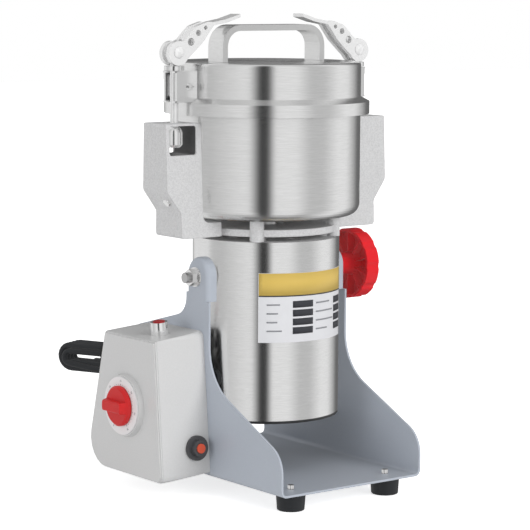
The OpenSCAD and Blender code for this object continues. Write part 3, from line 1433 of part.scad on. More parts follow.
// Latches: a rod hinged by its round nut in the arm, a collar, and a cam lever on a pin.
// Each is drawn on the left, where the lever's inward side is +X
eye_t = lever_w - 2 * leaf_t - 2 * free_gap;
eye_r = 5.6;
collar_z = bracket_top_z + free_gap;
nut_chamfer = 2;
module latch_rod(side) color(bright) placed() on_side(side) translate([-rod_x, 0, 0]) difference() {
    union() {
        bar_z(swing_z - round_nut_h / 2, collar_z + collar_t, rod_r);
        intersection() {
            union() {
                bar_z(collar_z, pin_z, rod_r);
                translate([0, 0, pin_z]) bar_y(-eye_t / 2, eye_t / 2, eye_r);
            }
            block([-eye_r, -eye_t / 2, collar_z], [eye_r, eye_t / 2, pin_z + eye_r]);
        }
    }
    translate([0, 0, pin_z]) bar_y(-eye_t, eye_t, pin_r + run_gap);
}
module latch_nut(side) color(bright) placed() on_side(side) translate([-rod_x, 0, 0]) difference() {
    union() {
        translate([0, 0, swing_z]) sphere(r = round_nut_r);
        bar_z(swing_z + round_nut_r - round_nut_h + nut_chamfer, swing_z, round_nut_r);
        translate([0, 0, swing_z + round_nut_r - round_nut_h])
            cylinder(h = nut_chamfer, r1 = round_nut_r - nut_chamfer, r2 = round_nut_r);
    }
    bar_z(swing_z - round_nut_h, swing_z + 2 * round_nut_r, rod_r + seat_gap);
}
module latch_collar(side) color(bright) placed() on_side(side) translate([-rod_x, 0, 0]) difference() {
    bar_z(collar_z, collar_z + collar_t, collar_r);
    bar_z(collar_z - cut, collar_z + collar_t + cut, rod_r + seat_gap);
}
// Side view of a leaf about its pin: inward, up
tab_t = 2.6;
tab_x = lever_l - 2.75 * cam_r;
tab_z = lever_rise - 0.32 * cam_r;
leaf_outline = rounded([
    [-0.4 * cam_r, 0.85 * cam_r, 2],
    [0.55 * cam_r, 0.95 * cam_r, 5],
    [1.75 * cam_r, 2.12 * cam_r, 8],
    [tab_x - 0.6 * cam_r, tab_z + 0.03 * cam_r, 6],
    [tab_x, tab_z, 0],
    [tab_x, tab_z - tab_t, 0],
    [2.45 * cam_r, 0.85 * cam_r, 10],
    [1.5 * cam_r, 0, 6],
    [0.9 * cam_r, -0.5 * cam_r, 1],
    [0, 0, 0]
], 5);
lever_tab = [
    [tab_x, tab_z],
    [lever_l - 1.4 * cam_r, lever_rise - 0.08 * cam_r],
    [lever_l, lever_rise + 0.33 * cam_r],
    [lever_l, lever_rise + 0.33 * cam_r - tab_t],
    [lever_l - 1.35 * cam_r, lever_rise - 0.08 * cam_r - tab_t],
    [tab_x, tab_z - tab_t]
];
lever_web = [
    [0.7 * cam_r, 1.08 * cam_r],
    [1.75 * cam_r, 2.06 * cam_r],
    [tab_x, tab_z],
    [tab_x, tab_z - tab_t],
    [2 * cam_r, 2.06 * cam_r - tab_t],
    [0.9 * cam_r, 1.08 * cam_r]
];
lever_holes = [[11.2, 7.9, 3], [18, 14.6, 2.3], [24.7, 18.4, 1.6]];
module latch_lever(side) color(bright) placed() on_side(side) translate([-rod_x, 0, pin_z])
    difference() {
        union() {
            difference() {
                along_y(-lever_w / 2, lever_w / 2) polygon(leaf_outline);
                along_y(-lever_w / 2 + leaf_t, lever_w / 2 - leaf_t)
                    translate([-2 * cam_r, -2 * cam_r]) square([2 * lever_l, lever_l]);
            }
            along_y(-lever_w / 2 + leaf_t / 2, lever_w / 2 - leaf_t / 2) polygon(lever_web);
            along_y(-lever_w / 2, lever_w / 2) polygon(lever_tab);
            for (y = [-lever_w / 2, lever_w / 2 - leaf_t])
                translate([0, 0, -cam_offset]) bar_y(y, y + leaf_t, cam_r);
        }
        for (h = lever_holes) translate([h.x, 0, h.y]) bar_y(-lever_w, lever_w, h.z);
        bar_y(-lever_w, lever_w, pin_r + seat_gap);
    }
pin_dome_r = (pow(pin_head_r, 2) + pow(pin_head_h, 2)) / (2 * pin_head_h);
module latch_pin(side) color(bright) placed() on_side(side) translate([-rod_x, 0, pin_z]) {
    bar_y(-lever_w / 2 - seat_gap, lever_w / 2 + seat_gap, pin_r);
    for (turn = [0, 180]) rotate([0, 0, turn]) intersection() {
        translate([0, -lever_w / 2 - seat_gap - pin_head_h + pin_dome_r, 0]) sphere(r = pin_dome_r);
        bar_y(-lever_w / 2 - seat_gap - pin_head_h, -lever_w / 2 - seat_gap, pin_head_r);
    }
}
stand_frame();
rubber_feet();
foot_studs();
pivot_bushes();
control_box();
box_screws();
dial_plate();
timer_body();
switch_body();
breaker_body();
cord_gland();
power_cord();
cord_hank();
cord_tie();
power_plug();
timer_knob();
timer_shaft();
power_button();
reset_button();
motor_housing();
housing_cover();
housing_grommet();
rating_label();
carrier_casting();
lower_bracket();
through_bolts();
stator_core();
stator_coils();
bearings();
brush_holders();
carbon_brushes();
pivot_studs();
pivot_fasteners();
head_screws();
bowl();
shaft_seal();
bowl_screws();
lid();
lid_gasket();
lid_handle();
lug_brackets();
motor_shaft();
armature();
commutator();
cooling_fan();
lower_blade();
upper_blade();
blade_spacer();
blade_nut();
clamp_knob();
latch_rod(-1);  // latch_rod_left
latch_nut(-1);  // latch_nut_left
latch_collar(-1);  // latch_collar_left
latch_lever(-1);  // latch_lever_left
latch_pin(-1);  // latch_pin_left
latch_rod(1);  // latch_rod_right
latch_nut(1);  // latch_nut_right
latch_collar(1);  // latch_collar_right
latch_lever(1);  // latch_lever_right
latch_pin(1);  // latch_pin_right
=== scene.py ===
"""Looks of a tilting grain mill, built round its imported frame. Lengths are in metres."""
import json
import math

import bpy
import bmesh
from mathutils import Matrix, Vector


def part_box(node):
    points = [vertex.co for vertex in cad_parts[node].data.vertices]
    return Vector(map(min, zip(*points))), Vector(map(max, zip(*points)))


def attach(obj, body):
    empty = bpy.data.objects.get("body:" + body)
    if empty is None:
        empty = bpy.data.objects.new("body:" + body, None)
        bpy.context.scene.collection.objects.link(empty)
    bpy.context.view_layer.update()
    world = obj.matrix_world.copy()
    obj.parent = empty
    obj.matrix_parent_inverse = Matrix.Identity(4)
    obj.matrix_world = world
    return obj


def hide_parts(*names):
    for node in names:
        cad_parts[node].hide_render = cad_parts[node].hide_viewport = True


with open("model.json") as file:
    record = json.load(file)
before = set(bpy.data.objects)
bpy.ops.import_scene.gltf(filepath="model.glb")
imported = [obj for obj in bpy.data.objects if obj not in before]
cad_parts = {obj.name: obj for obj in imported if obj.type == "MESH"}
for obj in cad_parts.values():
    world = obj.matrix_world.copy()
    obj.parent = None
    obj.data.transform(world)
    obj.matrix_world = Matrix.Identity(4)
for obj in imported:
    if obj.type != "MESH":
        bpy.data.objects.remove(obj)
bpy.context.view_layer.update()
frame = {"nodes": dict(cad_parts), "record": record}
MM = 0.001

# Places taken from the frame
bowl_low, bowl_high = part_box("bowl")
AXIS = Vector(((bowl_low[0] + bowl_high[0]) / 2, (bowl_low[1] + bowl_high[1]) / 2, 0))
TUBE_LOW, TUBE_HIGH = (Vector(v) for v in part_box("motor_housing"))
TUBE_R = (TUBE_HIGH.x - TUBE_LOW.x) / 2
DIAL_LOW, DIAL_HIGH = (Vector(v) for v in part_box("dial_plate"))
LABEL_HIGH = Vector(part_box("rating_label")[1])


def mill(x, y, z):
    """A point given in millimetres from the bowl's axis on the table."""
    return AXIS + Vector((x, y, z)) * MM


# Camera: where the photograph was taken from
PHOTO_PX = 530
FOCAL_PX = 2225.5
SENSOR_MM = 36
CAMERA_AT = mill(-1055.0, -1378.5, 393.4)
CAMERA_AZIMUTH = math.radians(-37.407)
CAMERA_PITCH = math.radians(7.275)
CAMERA_ROLL = math.radians(0.329)


def make_camera():
    """The camera, with its right and up directions worked out from its angles."""
    azimuth, pitch, roll = CAMERA_AZIMUTH, CAMERA_PITCH, CAMERA_ROLL
    forward = Vector((-math.sin(azimuth) * math.cos(pitch), math.cos(azimuth) * math.cos(pitch),
                      -math.sin(pitch)))
    right = Vector((math.cos(azimuth), math.sin(azimuth), 0))
    up = right.cross(forward)
    turned_right = right * math.cos(roll) + up * math.sin(roll)
    turned_up = up * math.cos(roll) - right * math.sin(roll)
    data = bpy.data.cameras.new("camera")
    data.sensor_width = SENSOR_MM
    data.lens = FOCAL_PX / PHOTO_PX * SENSOR_MM
    camera = bpy.data.objects.new("camera", data)
    bpy.context.scene.collection.objects.link(camera)
    basis = Matrix((turned_right, turned_up, -forward)).transposed()
    camera.matrix_world = Matrix.Translation(CAMERA_AT) @ basis.to_4x4()
    bpy.context.scene.camera = camera


make_camera()

# Corners of the box round each arm's recess, in millimetres from the bowl's axis. Inside it the casting is
# painted near black as painted shade
PAINTED_SHADE_WINDOW_LOW = (79.0, -15.0, 262.7)
PAINTED_SHADE_WINDOW_HIGH = (103.9, 12.6, 285.2)

# Sockets of the colour mix: its factor and its two colours, and its colour result
MIX_SOCKETS = (0, 6, 7)
MIX_RESULT = 2
BEVEL_SAMPLES = 4


class Tree:
    """Builds one material's nodes."""

    def __init__(self, name):
        self.material = bpy.data.materials.new(name)
        self.material.use_nodes = True
        self.nodes = self.material.node_tree.nodes
        self.links = self.material.node_tree.links
        self.shader = self.nodes["Principled BSDF"]

    def feed(self, socket, value):
        """Links another node's result to a socket, or sets the socket's own value."""
        if hasattr(value, "is_output"):
            self.links.new(value, socket)
        else:
            socket.default_value = value

    def node(self, kind, inputs=None, **settings):
        made = self.nodes.new(kind)
        for key, value in settings.items():
            setattr(made, key, value)
        for key, value in (inputs or {}).items():
            self.feed(made.inputs[key], value)
        return made

    def math(self, operation, a, b=0.0):
        return self.node("ShaderNodeMath", {0: a, 1: b}, operation=operation).outputs[0]

    def mix(self, factor, a, b):
        made = self.node("ShaderNodeMix", data_type="RGBA")
        for key, value in zip(MIX_SOCKETS, (factor, a, b)):
            self.feed(made.inputs[key], value)
        return made.outputs[MIX_RESULT]

    def place(self):
        return self.node("ShaderNodeTexCoord").outputs["Object"]

    def noise(self, vector, scale, detail=3.0, rough=0.5):
        return self.node("ShaderNodeTexNoise", {"Vector": vector, "Scale": scale, "Detail": detail,
                                                "Roughness": rough}).outputs["Fac"]

    def around(self, across, along):
        """Coordinates that run round the bowl's axis, stretched so that noise makes fine rings."""
        split = self.node("ShaderNodeSeparateXYZ", {0: self.place()})
        x = self.math("SUBTRACT", split.outputs[0], AXIS.x)
        y = self.math("SUBTRACT", split.outputs[1], AXIS.y)
        squares = self.math("ADD", self.math("MULTIPLY", x, x), self.math("MULTIPLY", y, y))
        radius = self.math("SQRT", squares)
        angle = self.math("ARCTAN2", y, x)
        joined = self.node("ShaderNodeCombineXYZ", {
            0: self.math("MULTIPLY", angle, along),
            1: self.math("MULTIPLY", split.outputs[2], across),
            2: self.math("MULTIPLY", radius, across)})
        return joined.outputs[0]

    def inside(self, low, high):
        """1 inside a box and its mirror image across the bowl's axis, 0 elsewhere. In millimetres."""
        split = self.node("ShaderNodeSeparateXYZ", {0: self.place()})
        x = self.math("ABSOLUTE", self.math("SUBTRACT", split.outputs[0], AXIS.x))
        axis_y = AXIS.y / MM
        found = 1.0
        for value, begin, end in ((x, low[0], high[0]),
                                  (split.outputs[1], axis_y + low[1], axis_y + high[1]),
                                  (split.outputs[2], low[2], high[2])):
            for test, limit in (("GREATER_THAN", begin), ("LESS_THAN", end)):
                found = self.math("MULTIPLY", self.math(test, value, limit * MM), found)
        return found

    def set(self, **values):
        """Feeds the shader's sockets. An underscore stands for a space in a socket's name."""
        for key, value in values.items():
            self.feed(self.shader.inputs[key.replace("_", " ")], value)

    def relief(self, height, strength, distance, edge):
        """Bump over normals that are rounded at the edges."""
        bevel = self.node("ShaderNodeBevel", {"Radius": edge}, samples=BEVEL_SAMPLES)
        bump = self.node("ShaderNodeBump", {"Height": height, "Strength": strength, "Distance": distance,
                                            "Normal": bevel.outputs[0]})
        return bump.outputs[0]

    def rough(self, pattern, least, spread):
        """Roughness from a least value up, as a pattern of 0 to 1 rises."""
        return self.math("ADD", self.math("MULTIPLY", pattern, spread), least)


def rgb(r, g, b):
    return (r, g, b, 1.0)


def grey(level):
    return rgb(level, level, level)


def shade(colour, factor):
    return rgb(*(min(1.0, c * factor) for c in colour[:3]))


def mottled(t, pattern, colour, spread):
    """The colour, darker and lighter by a share of itself as a pattern of 0 to 1 rises."""
    return t.mix(pattern, shade(colour, 1 - spread), shade(colour, 1 + spread))


PEEL_MM = 1.2
PEEL_STRENGTH = 0.25
PEEL_DEPTH = 0.06 * MM
PAINT_EDGE = 0.4 * MM
SOIL_SCALE = 18.0
SOIL_SHARE = 0.12
SOIL_SHADE = 0.8
COAT_ROUGH = 0.25


def painted(name, colour, rough, speckle, coat, metal=0.0):
    """Paint with orange peel, a fine speckle and a little soiling."""
    t = Tree(name)
    at = t.place()
    fine = t.noise(at, 1 / (PEEL_MM * MM), detail=2.0)
    broad = t.noise(at, SOIL_SCALE, detail=4.0)
    base = mottled(t, fine, colour, speckle)
    worn = t.mix(t.math("MULTIPLY", broad, SOIL_SHARE), base, shade(colour, SOIL_SHADE))
    t.set(Base_Color=worn, Roughness=t.rough(broad, least=rough - 0.07, spread=0.14), Metallic=metal,
          Coat_Weight=coat, Coat_Roughness=COAT_ROUGH,
          Normal=t.relief(fine, PEEL_STRENGTH, PEEL_DEPTH, PAINT_EDGE))
    return t.material


BRUSH_ACROSS = 9000.0
BRUSH_ALONG = 3.0
BRUSH_DEPTH = 0.03 * MM
BRUSH_STRENGTH = 0.12
BRUSH_EDGE = 0.3 * MM
BRUSH_CONTRAST = 0.16
STREAK_SHARE = 0.8
ANISOTROPY = 0.85
QUARTER_TURN = 0.25


def brushed(name, colour, rough):
    """Metal brushed round the bowl's axis: its reflections blur along the axis and stay sharp round it."""
    t = Tree(name)
    lines = t.noise(t.around(BRUSH_ACROSS, BRUSH_ALONG), 1.0, detail=3.0, rough=0.7)
    streaks = t.noise(t.around(BRUSH_ACROSS / 7, BRUSH_ALONG * 2), 1.0, detail=2.0, rough=0.8)
    bands = t.noise(t.around(BRUSH_ACROSS / 25, BRUSH_ALONG / 3), 1.0, detail=2.0)
    tone = t.math("ADD", t.math("MULTIPLY", streaks, STREAK_SHARE),
                  t.math("MULTIPLY", bands, 1 - STREAK_SHARE))
    tangent = t.node("ShaderNodeTangent", direction_type="RADIAL", axis="Z")
    t.set(Base_Color=mottled(t, tone, colour, BRUSH_CONTRAST), Metallic=1.0,
          Roughness=t.rough(lines, least=rough - 0.06, spread=0.12), Anisotropic=ANISOTROPY,
          Anisotropic_Rotation=QUARTER_TURN, Tangent=tangent.outputs[0],
          Normal=t.relief(lines, BRUSH_STRENGTH, BRUSH_DEPTH, BRUSH_EDGE))
    return t.material


GRAIN_MM = 0.6
GRAIN_SPREAD = 0.06
WAVE_SCALE = 140.0
WAVE_DEPTH = 0.2 * MM
METAL_EDGE = 0.25 * MM


def metal(name, colour, rough, wave=0.15, share=1.0):
    """Plated, cast or turned metal with slight waviness."""
    t = Tree(name)
    at = t.place()
    fine = t.noise(at, 1 / (GRAIN_MM * MM))
    broad = t.noise(at, WAVE_SCALE)
    t.set(Base_Color=mottled(t, fine, colour, GRAIN_SPREAD), Metallic=share,
          Roughness=t.rough(broad, least=rough - 0.06, spread=0.16),
          Normal=t.relief(broad, wave, WAVE_DEPTH, METAL_EDGE))
    return t.material


TEXTURE_MM = 0.5
TEXTURE_DEPTH = 0.05 * MM
CLOUD_SCALE = 60.0
CLOUD_SHARE = 0.5
CLOUD_SHADE = 0.78
SUBSURFACE_SCALE = 1.5 * MM


def plastic(name, colour, rough, bump=0.1, edge=0.4, subsurface=0.0, coat=0.0):
    """Moulded plastic or rubber. The edge's radius is in millimetres."""
    t = Tree(name)
    at = t.place()
    fine = t.noise(at, 1 / (TEXTURE_MM * MM), detail=2.0)
    broad = t.noise(at, CLOUD_SCALE)
    base = t.mix(t.math("MULTIPLY", broad, CLOUD_SHARE), colour, shade(colour, CLOUD_SHADE))
    t.set(Base_Color=base, Roughness=t.rough(fine, least=rough - 0.05, spread=0.12), Coat_Weight=coat,
          Normal=t.relief(fine, bump, TEXTURE_DEPTH, edge * MM))
    if subsurface:
        t.set(Subsurface_Weight=subsurface, Subsurface_Scale=SUBSURFACE_SCALE)
    return t.material


SPARK_MM = 0.8
LUMP_MM = 1.1
SPARK_SHARE = 0.5
SPARK_DARK = 0.84
SPARK_LIGHT = 1.13
# Share of the casting's colour left inside the arms' recesses: painted shade
PAINTED_RECESS_SHADE = 0.10
CAST_ROUGH = 0.58
SPARK_GLOSS = 0.22


def sparkle_cast(name, colour):
    """A casting under silver paint with a fine metallic sparkle, with painted shade that makes it near
    black inside the arms' recesses.
    """
    t = Tree(name)
    at = t.place()
    cells = t.node("ShaderNodeTexVoronoi", {"Vector": at, "Scale": 1 / (SPARK_MM * MM)}).outputs["Color"]
    spark = t.node("ShaderNodeSeparateColor", {0: cells}).outputs[0]
    lumps = t.noise(at, 1 / (LUMP_MM * MM), rough=0.6)
    tone = t.math("ADD", t.math("MULTIPLY", spark, SPARK_SHARE), t.math("MULTIPLY", lumps, 1 - SPARK_SHARE))
    light = t.mix(tone, shade(colour, SPARK_DARK), shade(colour, SPARK_LIGHT))
    # Painted shade: the casting turns near black inside the arms' recesses, where shadow falls
    base = t.mix(t.inside(PAINTED_SHADE_WINDOW_LOW, PAINTED_SHADE_WINDOW_HIGH), light, shade(colour, PAINTED_RECESS_SHADE))
    t.set(Base_Color=base, Metallic=0.25,
          Roughness=t.math("SUBTRACT", CAST_ROUGH, t.math("MULTIPLY", spark, SPARK_GLOSS)),
          Normal=t.relief(lumps, strength=0.3, distance=0.07 * MM, edge=0.8 * MM))
    return t.material


RED = rgb(0.86, 0.003, 0.012)
STAINLESS = rgb(0.92, 0.92, 0.915)
PLATED = grey(0.97)
# One look for each material slot of the frame
looks = {
    "stand_paint": painted("stand_paint", rgb(0.475, 0.515, 0.58), 0.42, speckle=0.04, coat=0.25),
    "box_paint": painted("box_paint", grey(0.74), 0.40, speckle=0.04, coat=0.2, metal=0.1),
    "cast_paint": sparkle_cast("cast_paint", rgb(0.72, 0.72, 0.725)),
    "raw_casting": metal("raw_casting", grey(0.6), 0.5),
    "brushed_tube": brushed("brushed_tube", STAINLESS, 0.22),
    "bowl_steel": brushed("bowl_steel", STAINLESS, 0.24),
    "bright_steel": metal("bright_steel", grey(0.93), 0.13),
    "blade_steel": metal("blade_steel", grey(0.8), 0.28),
    "plain_steel": metal("plain_steel", grey(0.6), 0.32),
    "lamination": metal("lamination", rgb(0.2, 0.2, 0.21), 0.5),
    "copper": metal("copper", rgb(0.72, 0.36, 0.18), 0.35),
    "brass": metal("brass", rgb(0.8, 0.62, 0.3), 0.3),
    "carbon": plastic("carbon", grey(0.03), 0.6),
    "black_rubber": plastic("black_rubber", rgb(0.016, 0.018, 0.021), 0.55),
    "gasket_rubber": plastic("gasket_rubber", rgb(0.8, 0.8, 0.78), 0.5),
    "black_plastic": plastic("black_plastic", rgb(0.02, 0.02, 0.022), 0.38),
    "tie_tape": plastic("tie_tape", grey(0.02), 0.7, bump=0.5),
    "nylon": plastic("nylon", rgb(0.75, 0.75, 0.7), 0.45),
    "dial_white": plastic("dial_white", rgb(0.93, 0.92, 0.93), 0.3, bump=0.03),
    "label_white": plastic("label_white", rgb(0.78, 0.785, 0.81), 0.35, bump=0.02, edge=0.05),
    "red_plastic": plastic("red_plastic", RED, 0.45, subsurface=0.5),
    "orange_plastic": plastic("orange_plastic", rgb(0.80, 0.10, 0.04), 0.35, coat=0.2),
}
# Pieces whose look differs from the rest of their slot
own_looks = {
    "breaker_body": plastic("breaker_grey", rgb(0.075, 0.075, 0.08), 0.45),
    "timer_knob": plastic("timer_red", rgb(0.70, 0.012, 0.014), 0.45, subsurface=0.1),
    "power_button": plastic("button_red", rgb(0.40, 0.01, 0.012), 0.4),
    "switch_body": metal("switch_chrome", PLATED, 0.10, wave=0.03),
    "control_box": painted("box_paint_fine", grey(0.70), 0.38, speckle=0.05, coat=0.25, metal=0.1),
}
latch_steel = metal("latch_steel", PLATED, 0.20, share=0.36)
rod_steel = metal("rod_steel", PLATED, 0.16, share=0.6)
for side in ("left", "right"):
    own_looks[f"latch_rod_{side}"] = rod_steel
    for piece in ("lever", "pin"):
        own_looks[f"latch_{piece}_{side}"] = latch_steel
slot_of = {part["node"]: part["material_slot"] for part in frame["record"]["subparts"]}
for node, part in frame["nodes"].items():
    for material_slot in part.material_slots:
        material_slot.material = own_looks.get(node, looks[slot_of[node]])
# The tube and the bowl mirror the studio without these pieces
for node in ("stand_frame", "carrier_casting", "clamp_knob", "power_plug", "cord_tie"):
    frame["nodes"][node].visible_glossy = False


def link(name, mesh, material, body):
    """Adds a made mesh as a piece that rides on a body."""
    made = bpy.data.objects.new(name, mesh)
    bpy.context.scene.collection.objects.link(made)
    mesh.materials.append(material)
    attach(made, body)


# Rating label: its coloured band, rule, dark boxes and grey bars, bent round the tube
LABEL_T = 0.3 * MM
LABEL_LIFT = 0.12 * MM
LABEL_SKIN = 0.06 * MM
CUTS_PER_DEGREE = 24 / 82


def bent_patch(name, angle_from, angle_to, z_from, z_to, material):
    """A thin patch round the tube. Angles run from the front towards the right, in degrees."""
    radius = TUBE_R + LABEL_T + LABEL_LIFT
    cuts = int(CUTS_PER_DEGREE * (angle_to - angle_from)) + 2
    angles = [math.radians(angle_from + (angle_to - angle_from) * i / cuts) for i in range(cuts + 1)]
    bm = bmesh.new()
    inner_low, inner_high, outer_low, outer_high = (
        [bm.verts.new(AXIS + Vector((r * math.sin(a), -r * math.cos(a), z))) for a in angles]
        for r in (radius, radius + LABEL_SKIN) for z in (z_from, z_to))
    for i in range(cuts):
        bm.faces.new((outer_low[i], outer_low[i + 1], outer_high[i + 1], outer_high[i]))
        bm.faces.new((inner_low[i + 1], inner_low[i], inner_high[i], inner_high[i + 1]))
        bm.faces.new((outer_high[i], outer_high[i + 1], inner_high[i + 1], inner_high[i]))
        bm.faces.new((outer_low[i + 1], outer_low[i], inner_low[i], inner_low[i + 1]))
    for i in (0, cuts):
        bm.faces.new((outer_low[i], outer_high[i], inner_high[i], inner_low[i]))
    bmesh.ops.recalc_face_normals(bm, faces=bm.faces)
    mesh = bpy.data.meshes.new(name)
    bm.to_mesh(mesh)
    bm.free()
    for face in mesh.polygons:
        face.use_smooth = True
    link(name, mesh, material, "head")


LABEL_HALF = 42.6
LABEL_MARGIN = 0.2 * MM
BAND_Z = LABEL_HIGH.z - 17.2 * MM
RULE_H = 0.9 * MM
BOX_TOP_Z = BAND_Z - RULE_H - 3.6 * MM
BOX_STEP = 6.75 * MM
BOX_H = 5.2 * MM
BAR_H = 1.1 * MM
# Angles where the boxes begin and end, where the bars begin, and where each row's two bars end
MAIN_BOX = (-16.3, 1.5)
SIDE_BOX = (27.4, 41.0)
BAR_FROM = -36.6
SIDE_BAR_FROM = 4.5
BAR_ENDS = [(-26.5, 20.5), (-28.0, 25.0), (-28.5, 26.0), (-24.9, 17.5)]


def dress_label():
    yellow = plastic("label_yellow", rgb(0.74, 0.52, 0.12), 0.35, bump=0.02, edge=0.02)
    dark = plastic("label_dark", rgb(0.035, 0.037, 0.045), 0.4, bump=0.02, edge=0.02)
    pale = plastic("label_grey", rgb(0.30, 0.31, 0.33), 0.4, bump=0.02, edge=0.02)
    bent_patch("label_band", -LABEL_HALF, LABEL_HALF, BAND_Z, LABEL_HIGH.z - LABEL_MARGIN, yellow)
    bent_patch("label_rule", -LABEL_HALF, LABEL_HALF, BAND_Z - RULE_H, BAND_Z, dark)
    for row, (bar_end, side_bar_end) in enumerate(BAR_ENDS):
        top = BOX_TOP_Z - row * BOX_STEP
        bar_low = top - BOX_H / 2 - BAR_H / 2
        bar_high = top - BOX_H / 2 + BAR_H / 2
        bent_patch(f"label_box_{row}", *MAIN_BOX, top - BOX_H, top, dark)
        bent_patch(f"label_side_box_{row}", *SIDE_BOX, top - BOX_H, top, dark)
        bent_patch(f"label_bar_{row}", BAR_FROM, bar_end, bar_low, bar_high, pale)
        bent_patch(f"label_side_bar_{row}", SIDE_BAR_FROM, side_bar_end, bar_low, bar_high, pale)


dress_label()

# Dial: dark ticks and numbers round the knob
DIAL_CENTRE = Vector((DIAL_LOW.x, (DIAL_LOW.y + DIAL_HIGH.y) / 2, (DIAL_LOW.z + DIAL_HIGH.z) / 2))
dial_ink = plastic("dial_ink", rgb(0.22, 0.22, 0.25), 0.5, bump=0.02, edge=0.02)
TICKS = 30
TICK_SWEEP = 300
TICK_R = 16.6 * MM
LONG_TICK_EVERY = 5
LONG_TICK = (0.4 * MM, 1.2 * MM)
SHORT_TICK = (0.25 * MM, 0.8 * MM)
DIAL_NUMBERS = ("0", "5", "10", "15", "20", "25", "30")
NUMBER_R = 19.3 * MM
NUMBER_SIZE = 2.3 * MM
INK_T = 0.08 * MM


def dial_place(share, radius):
    """Puts a thing drawn upright round the origin on the dial, at a share of the scale."""
    turn = Matrix.Rotation(math.radians(-TICK_SWEEP / 2 + TICK_SWEEP * share), 4, "X")
    return Matrix.Translation(DIAL_CENTRE) @ turn @ Matrix.Translation(Vector((-INK_T / 2, 0, radius)))


def dial_ticks():
    bm = bmesh.new()
    for i in range(TICKS + 1):
        width, height = SHORT_TICK if i % LONG_TICK_EVERY else LONG_TICK
        size = Matrix.Diagonal(Vector((INK_T, width, height)).to_4d())
        bmesh.ops.create_cube(bm, size=1, matrix=dial_place(i / TICKS, TICK_R) @ size)
    mesh = bpy.data.meshes.new("dial_ticks")
    bm.to_mesh(mesh)
    bm.free()
    link("dial_ticks", mesh, dial_ink, "stand")


def dial_numbers():
    upright = Matrix.Rotation(math.radians(-90), 4, "Z") @ Matrix.Rotation(math.radians(90), 4, "X")
    for i, word in enumerate(DIAL_NUMBERS):
        curve = bpy.data.curves.new(f"number_{word}", "FONT")
        curve.body = word
        curve.size = NUMBER_SIZE
        curve.align_x = "CENTER"
        curve.align_y = "CENTER"
        curve.extrude = INK_T / 2
        holder = bpy.data.objects.new(f"number_{word}", curve)
        bpy.context.scene.collection.objects.link(holder)
        bpy.context.view_layer.update()
        mesh = bpy.data.meshes.new_from_object(holder)
        bpy.data.objects.remove(holder)
        mesh.transform(dial_place(i / (len(DIAL_NUMBERS) - 1), NUMBER_R) @ upright)
        mesh.materials.clear()
        link(f"dial_number_{word}", mesh, dial_ink, "stand")


dial_ticks()
dial_numbers()

# Power cord: one curve from the gland through the hank to the plug, with the CAD route's values.
# Its lengths are in millimetres from the bowl's axis until mill() turns the route's points to metres.
CORD_R = 2.2 * MM
CORD_STEPS = 14
BEVEL_RESOLUTION = 4
HANK_CENTRE = Vector((-93.5, 100.5, 93.5))
HANK_TURN = math.radians(25)
HANK_L = 40
HANK_R = 9.5
HANK_LAYER = 4.6
HANK_PITCH = 4.95
HANK_LOOPS = 4
LOOP_RINGS = 24
HANK_WAY = Vector((-math.sin(HANK_TURN), math.cos(HANK_TURN), 0))
HANK_ACROSS = Vector((math.cos(HANK_TURN), math.sin(HANK_TURN), 0))
# The control box's rear wall leans forwards from its foot to its top, and the gland stands square on it
BOX_FOOT_Y = 84
BOX_TOP_Y = 56.5
BOX_RISE = 112.5
GLAND_X = -80
GLAND_Z = 60
GLAND_RISE = 46
GLAND_L = 14.5
REAR_LEAN = math.atan((BOX_FOOT_Y - BOX_TOP_Y) / BOX_RISE)
GLAND_WAY = Vector((0, math.cos(REAR_LEAN), math.sin(REAR_LEAN)))
GLAND_FOOT = Vector((GLAND_X, BOX_FOOT_Y - GLAND_RISE * math.tan(REAR_LEAN), GLAND_Z))
GLAND_EXIT = GLAND_FOOT + GLAND_L * GLAND_WAY
PLUG_TOP = Vector((-60.6, 118, 56))
DOWN = Vector((0, 0, -1))
# How far each end of a route pulls its curve straight
GLAND_REACHES = (14, 14)
PLUG_REACHES = (19, 32)


def cord_path(a, way_a, b, way_b, reach_a, reach_b):
    """A smooth route between two ends, each with its own direction."""
    path = []
    for i in range(CORD_STEPS + 1):
        t = i / CORD_STEPS
        s = 1 - t
        path.append(s ** 3 * (a + way_a) + 3 * s * s * t * (a + reach_a * way_a)
                    + 3 * s * t * t * (b - reach_b * way_b) + t ** 3 * (b - way_b))
    return [a] + path + [b]


def hank_place(e, z, m):
    """A place in the hank: along it, up it and across it."""
    return HANK_CENTRE + e * HANK_WAY + Vector((0, 0, z)) + m * HANK_ACROSS


def hank_offset(t):
    """Offset across the hank after t loops: out in the outer layer and back in the inner."""
    return HANK_PITCH * (HANK_LOOPS / 2 - t if t < HANK_LOOPS else t - HANK_LOOPS * 1.5)


def loop_point(q, r, m):
    """Point q of a loop's rings: half of them round the far fold, and half round the near one."""
    far = q < LOOP_RINGS / 2
    step = 180 / (LOOP_RINGS / 2 - 1)
    a = math.radians(-90 + step * q if far else 90 + step * (q - LOOP_RINGS / 2))
    return hank_place((1 if far else -1) * HANK_L / 2 + r * math.cos(a), r * math.sin(a), m)


def cord_route():
    first = hank_place(0, -HANK_R, hank_offset(0))
    last = hank_place(0, -HANK_LAYER, hank_offset(2 * HANK_LOOPS))
    loops = [loop_point(q, HANK_R if turn < HANK_LOOPS else HANK_LAYER, hank_offset(turn + q / LOOP_RINGS))
             for turn in range(2 * HANK_LOOPS) for q in range(LOOP_RINGS)]
    points = (cord_path(GLAND_EXIT, GLAND_WAY, first, HANK_WAY, *GLAND_REACHES) + loops
              + cord_path(last, HANK_WAY, PLUG_TOP, DOWN, *PLUG_REACHES))
    return [mill(*p) for p in points]


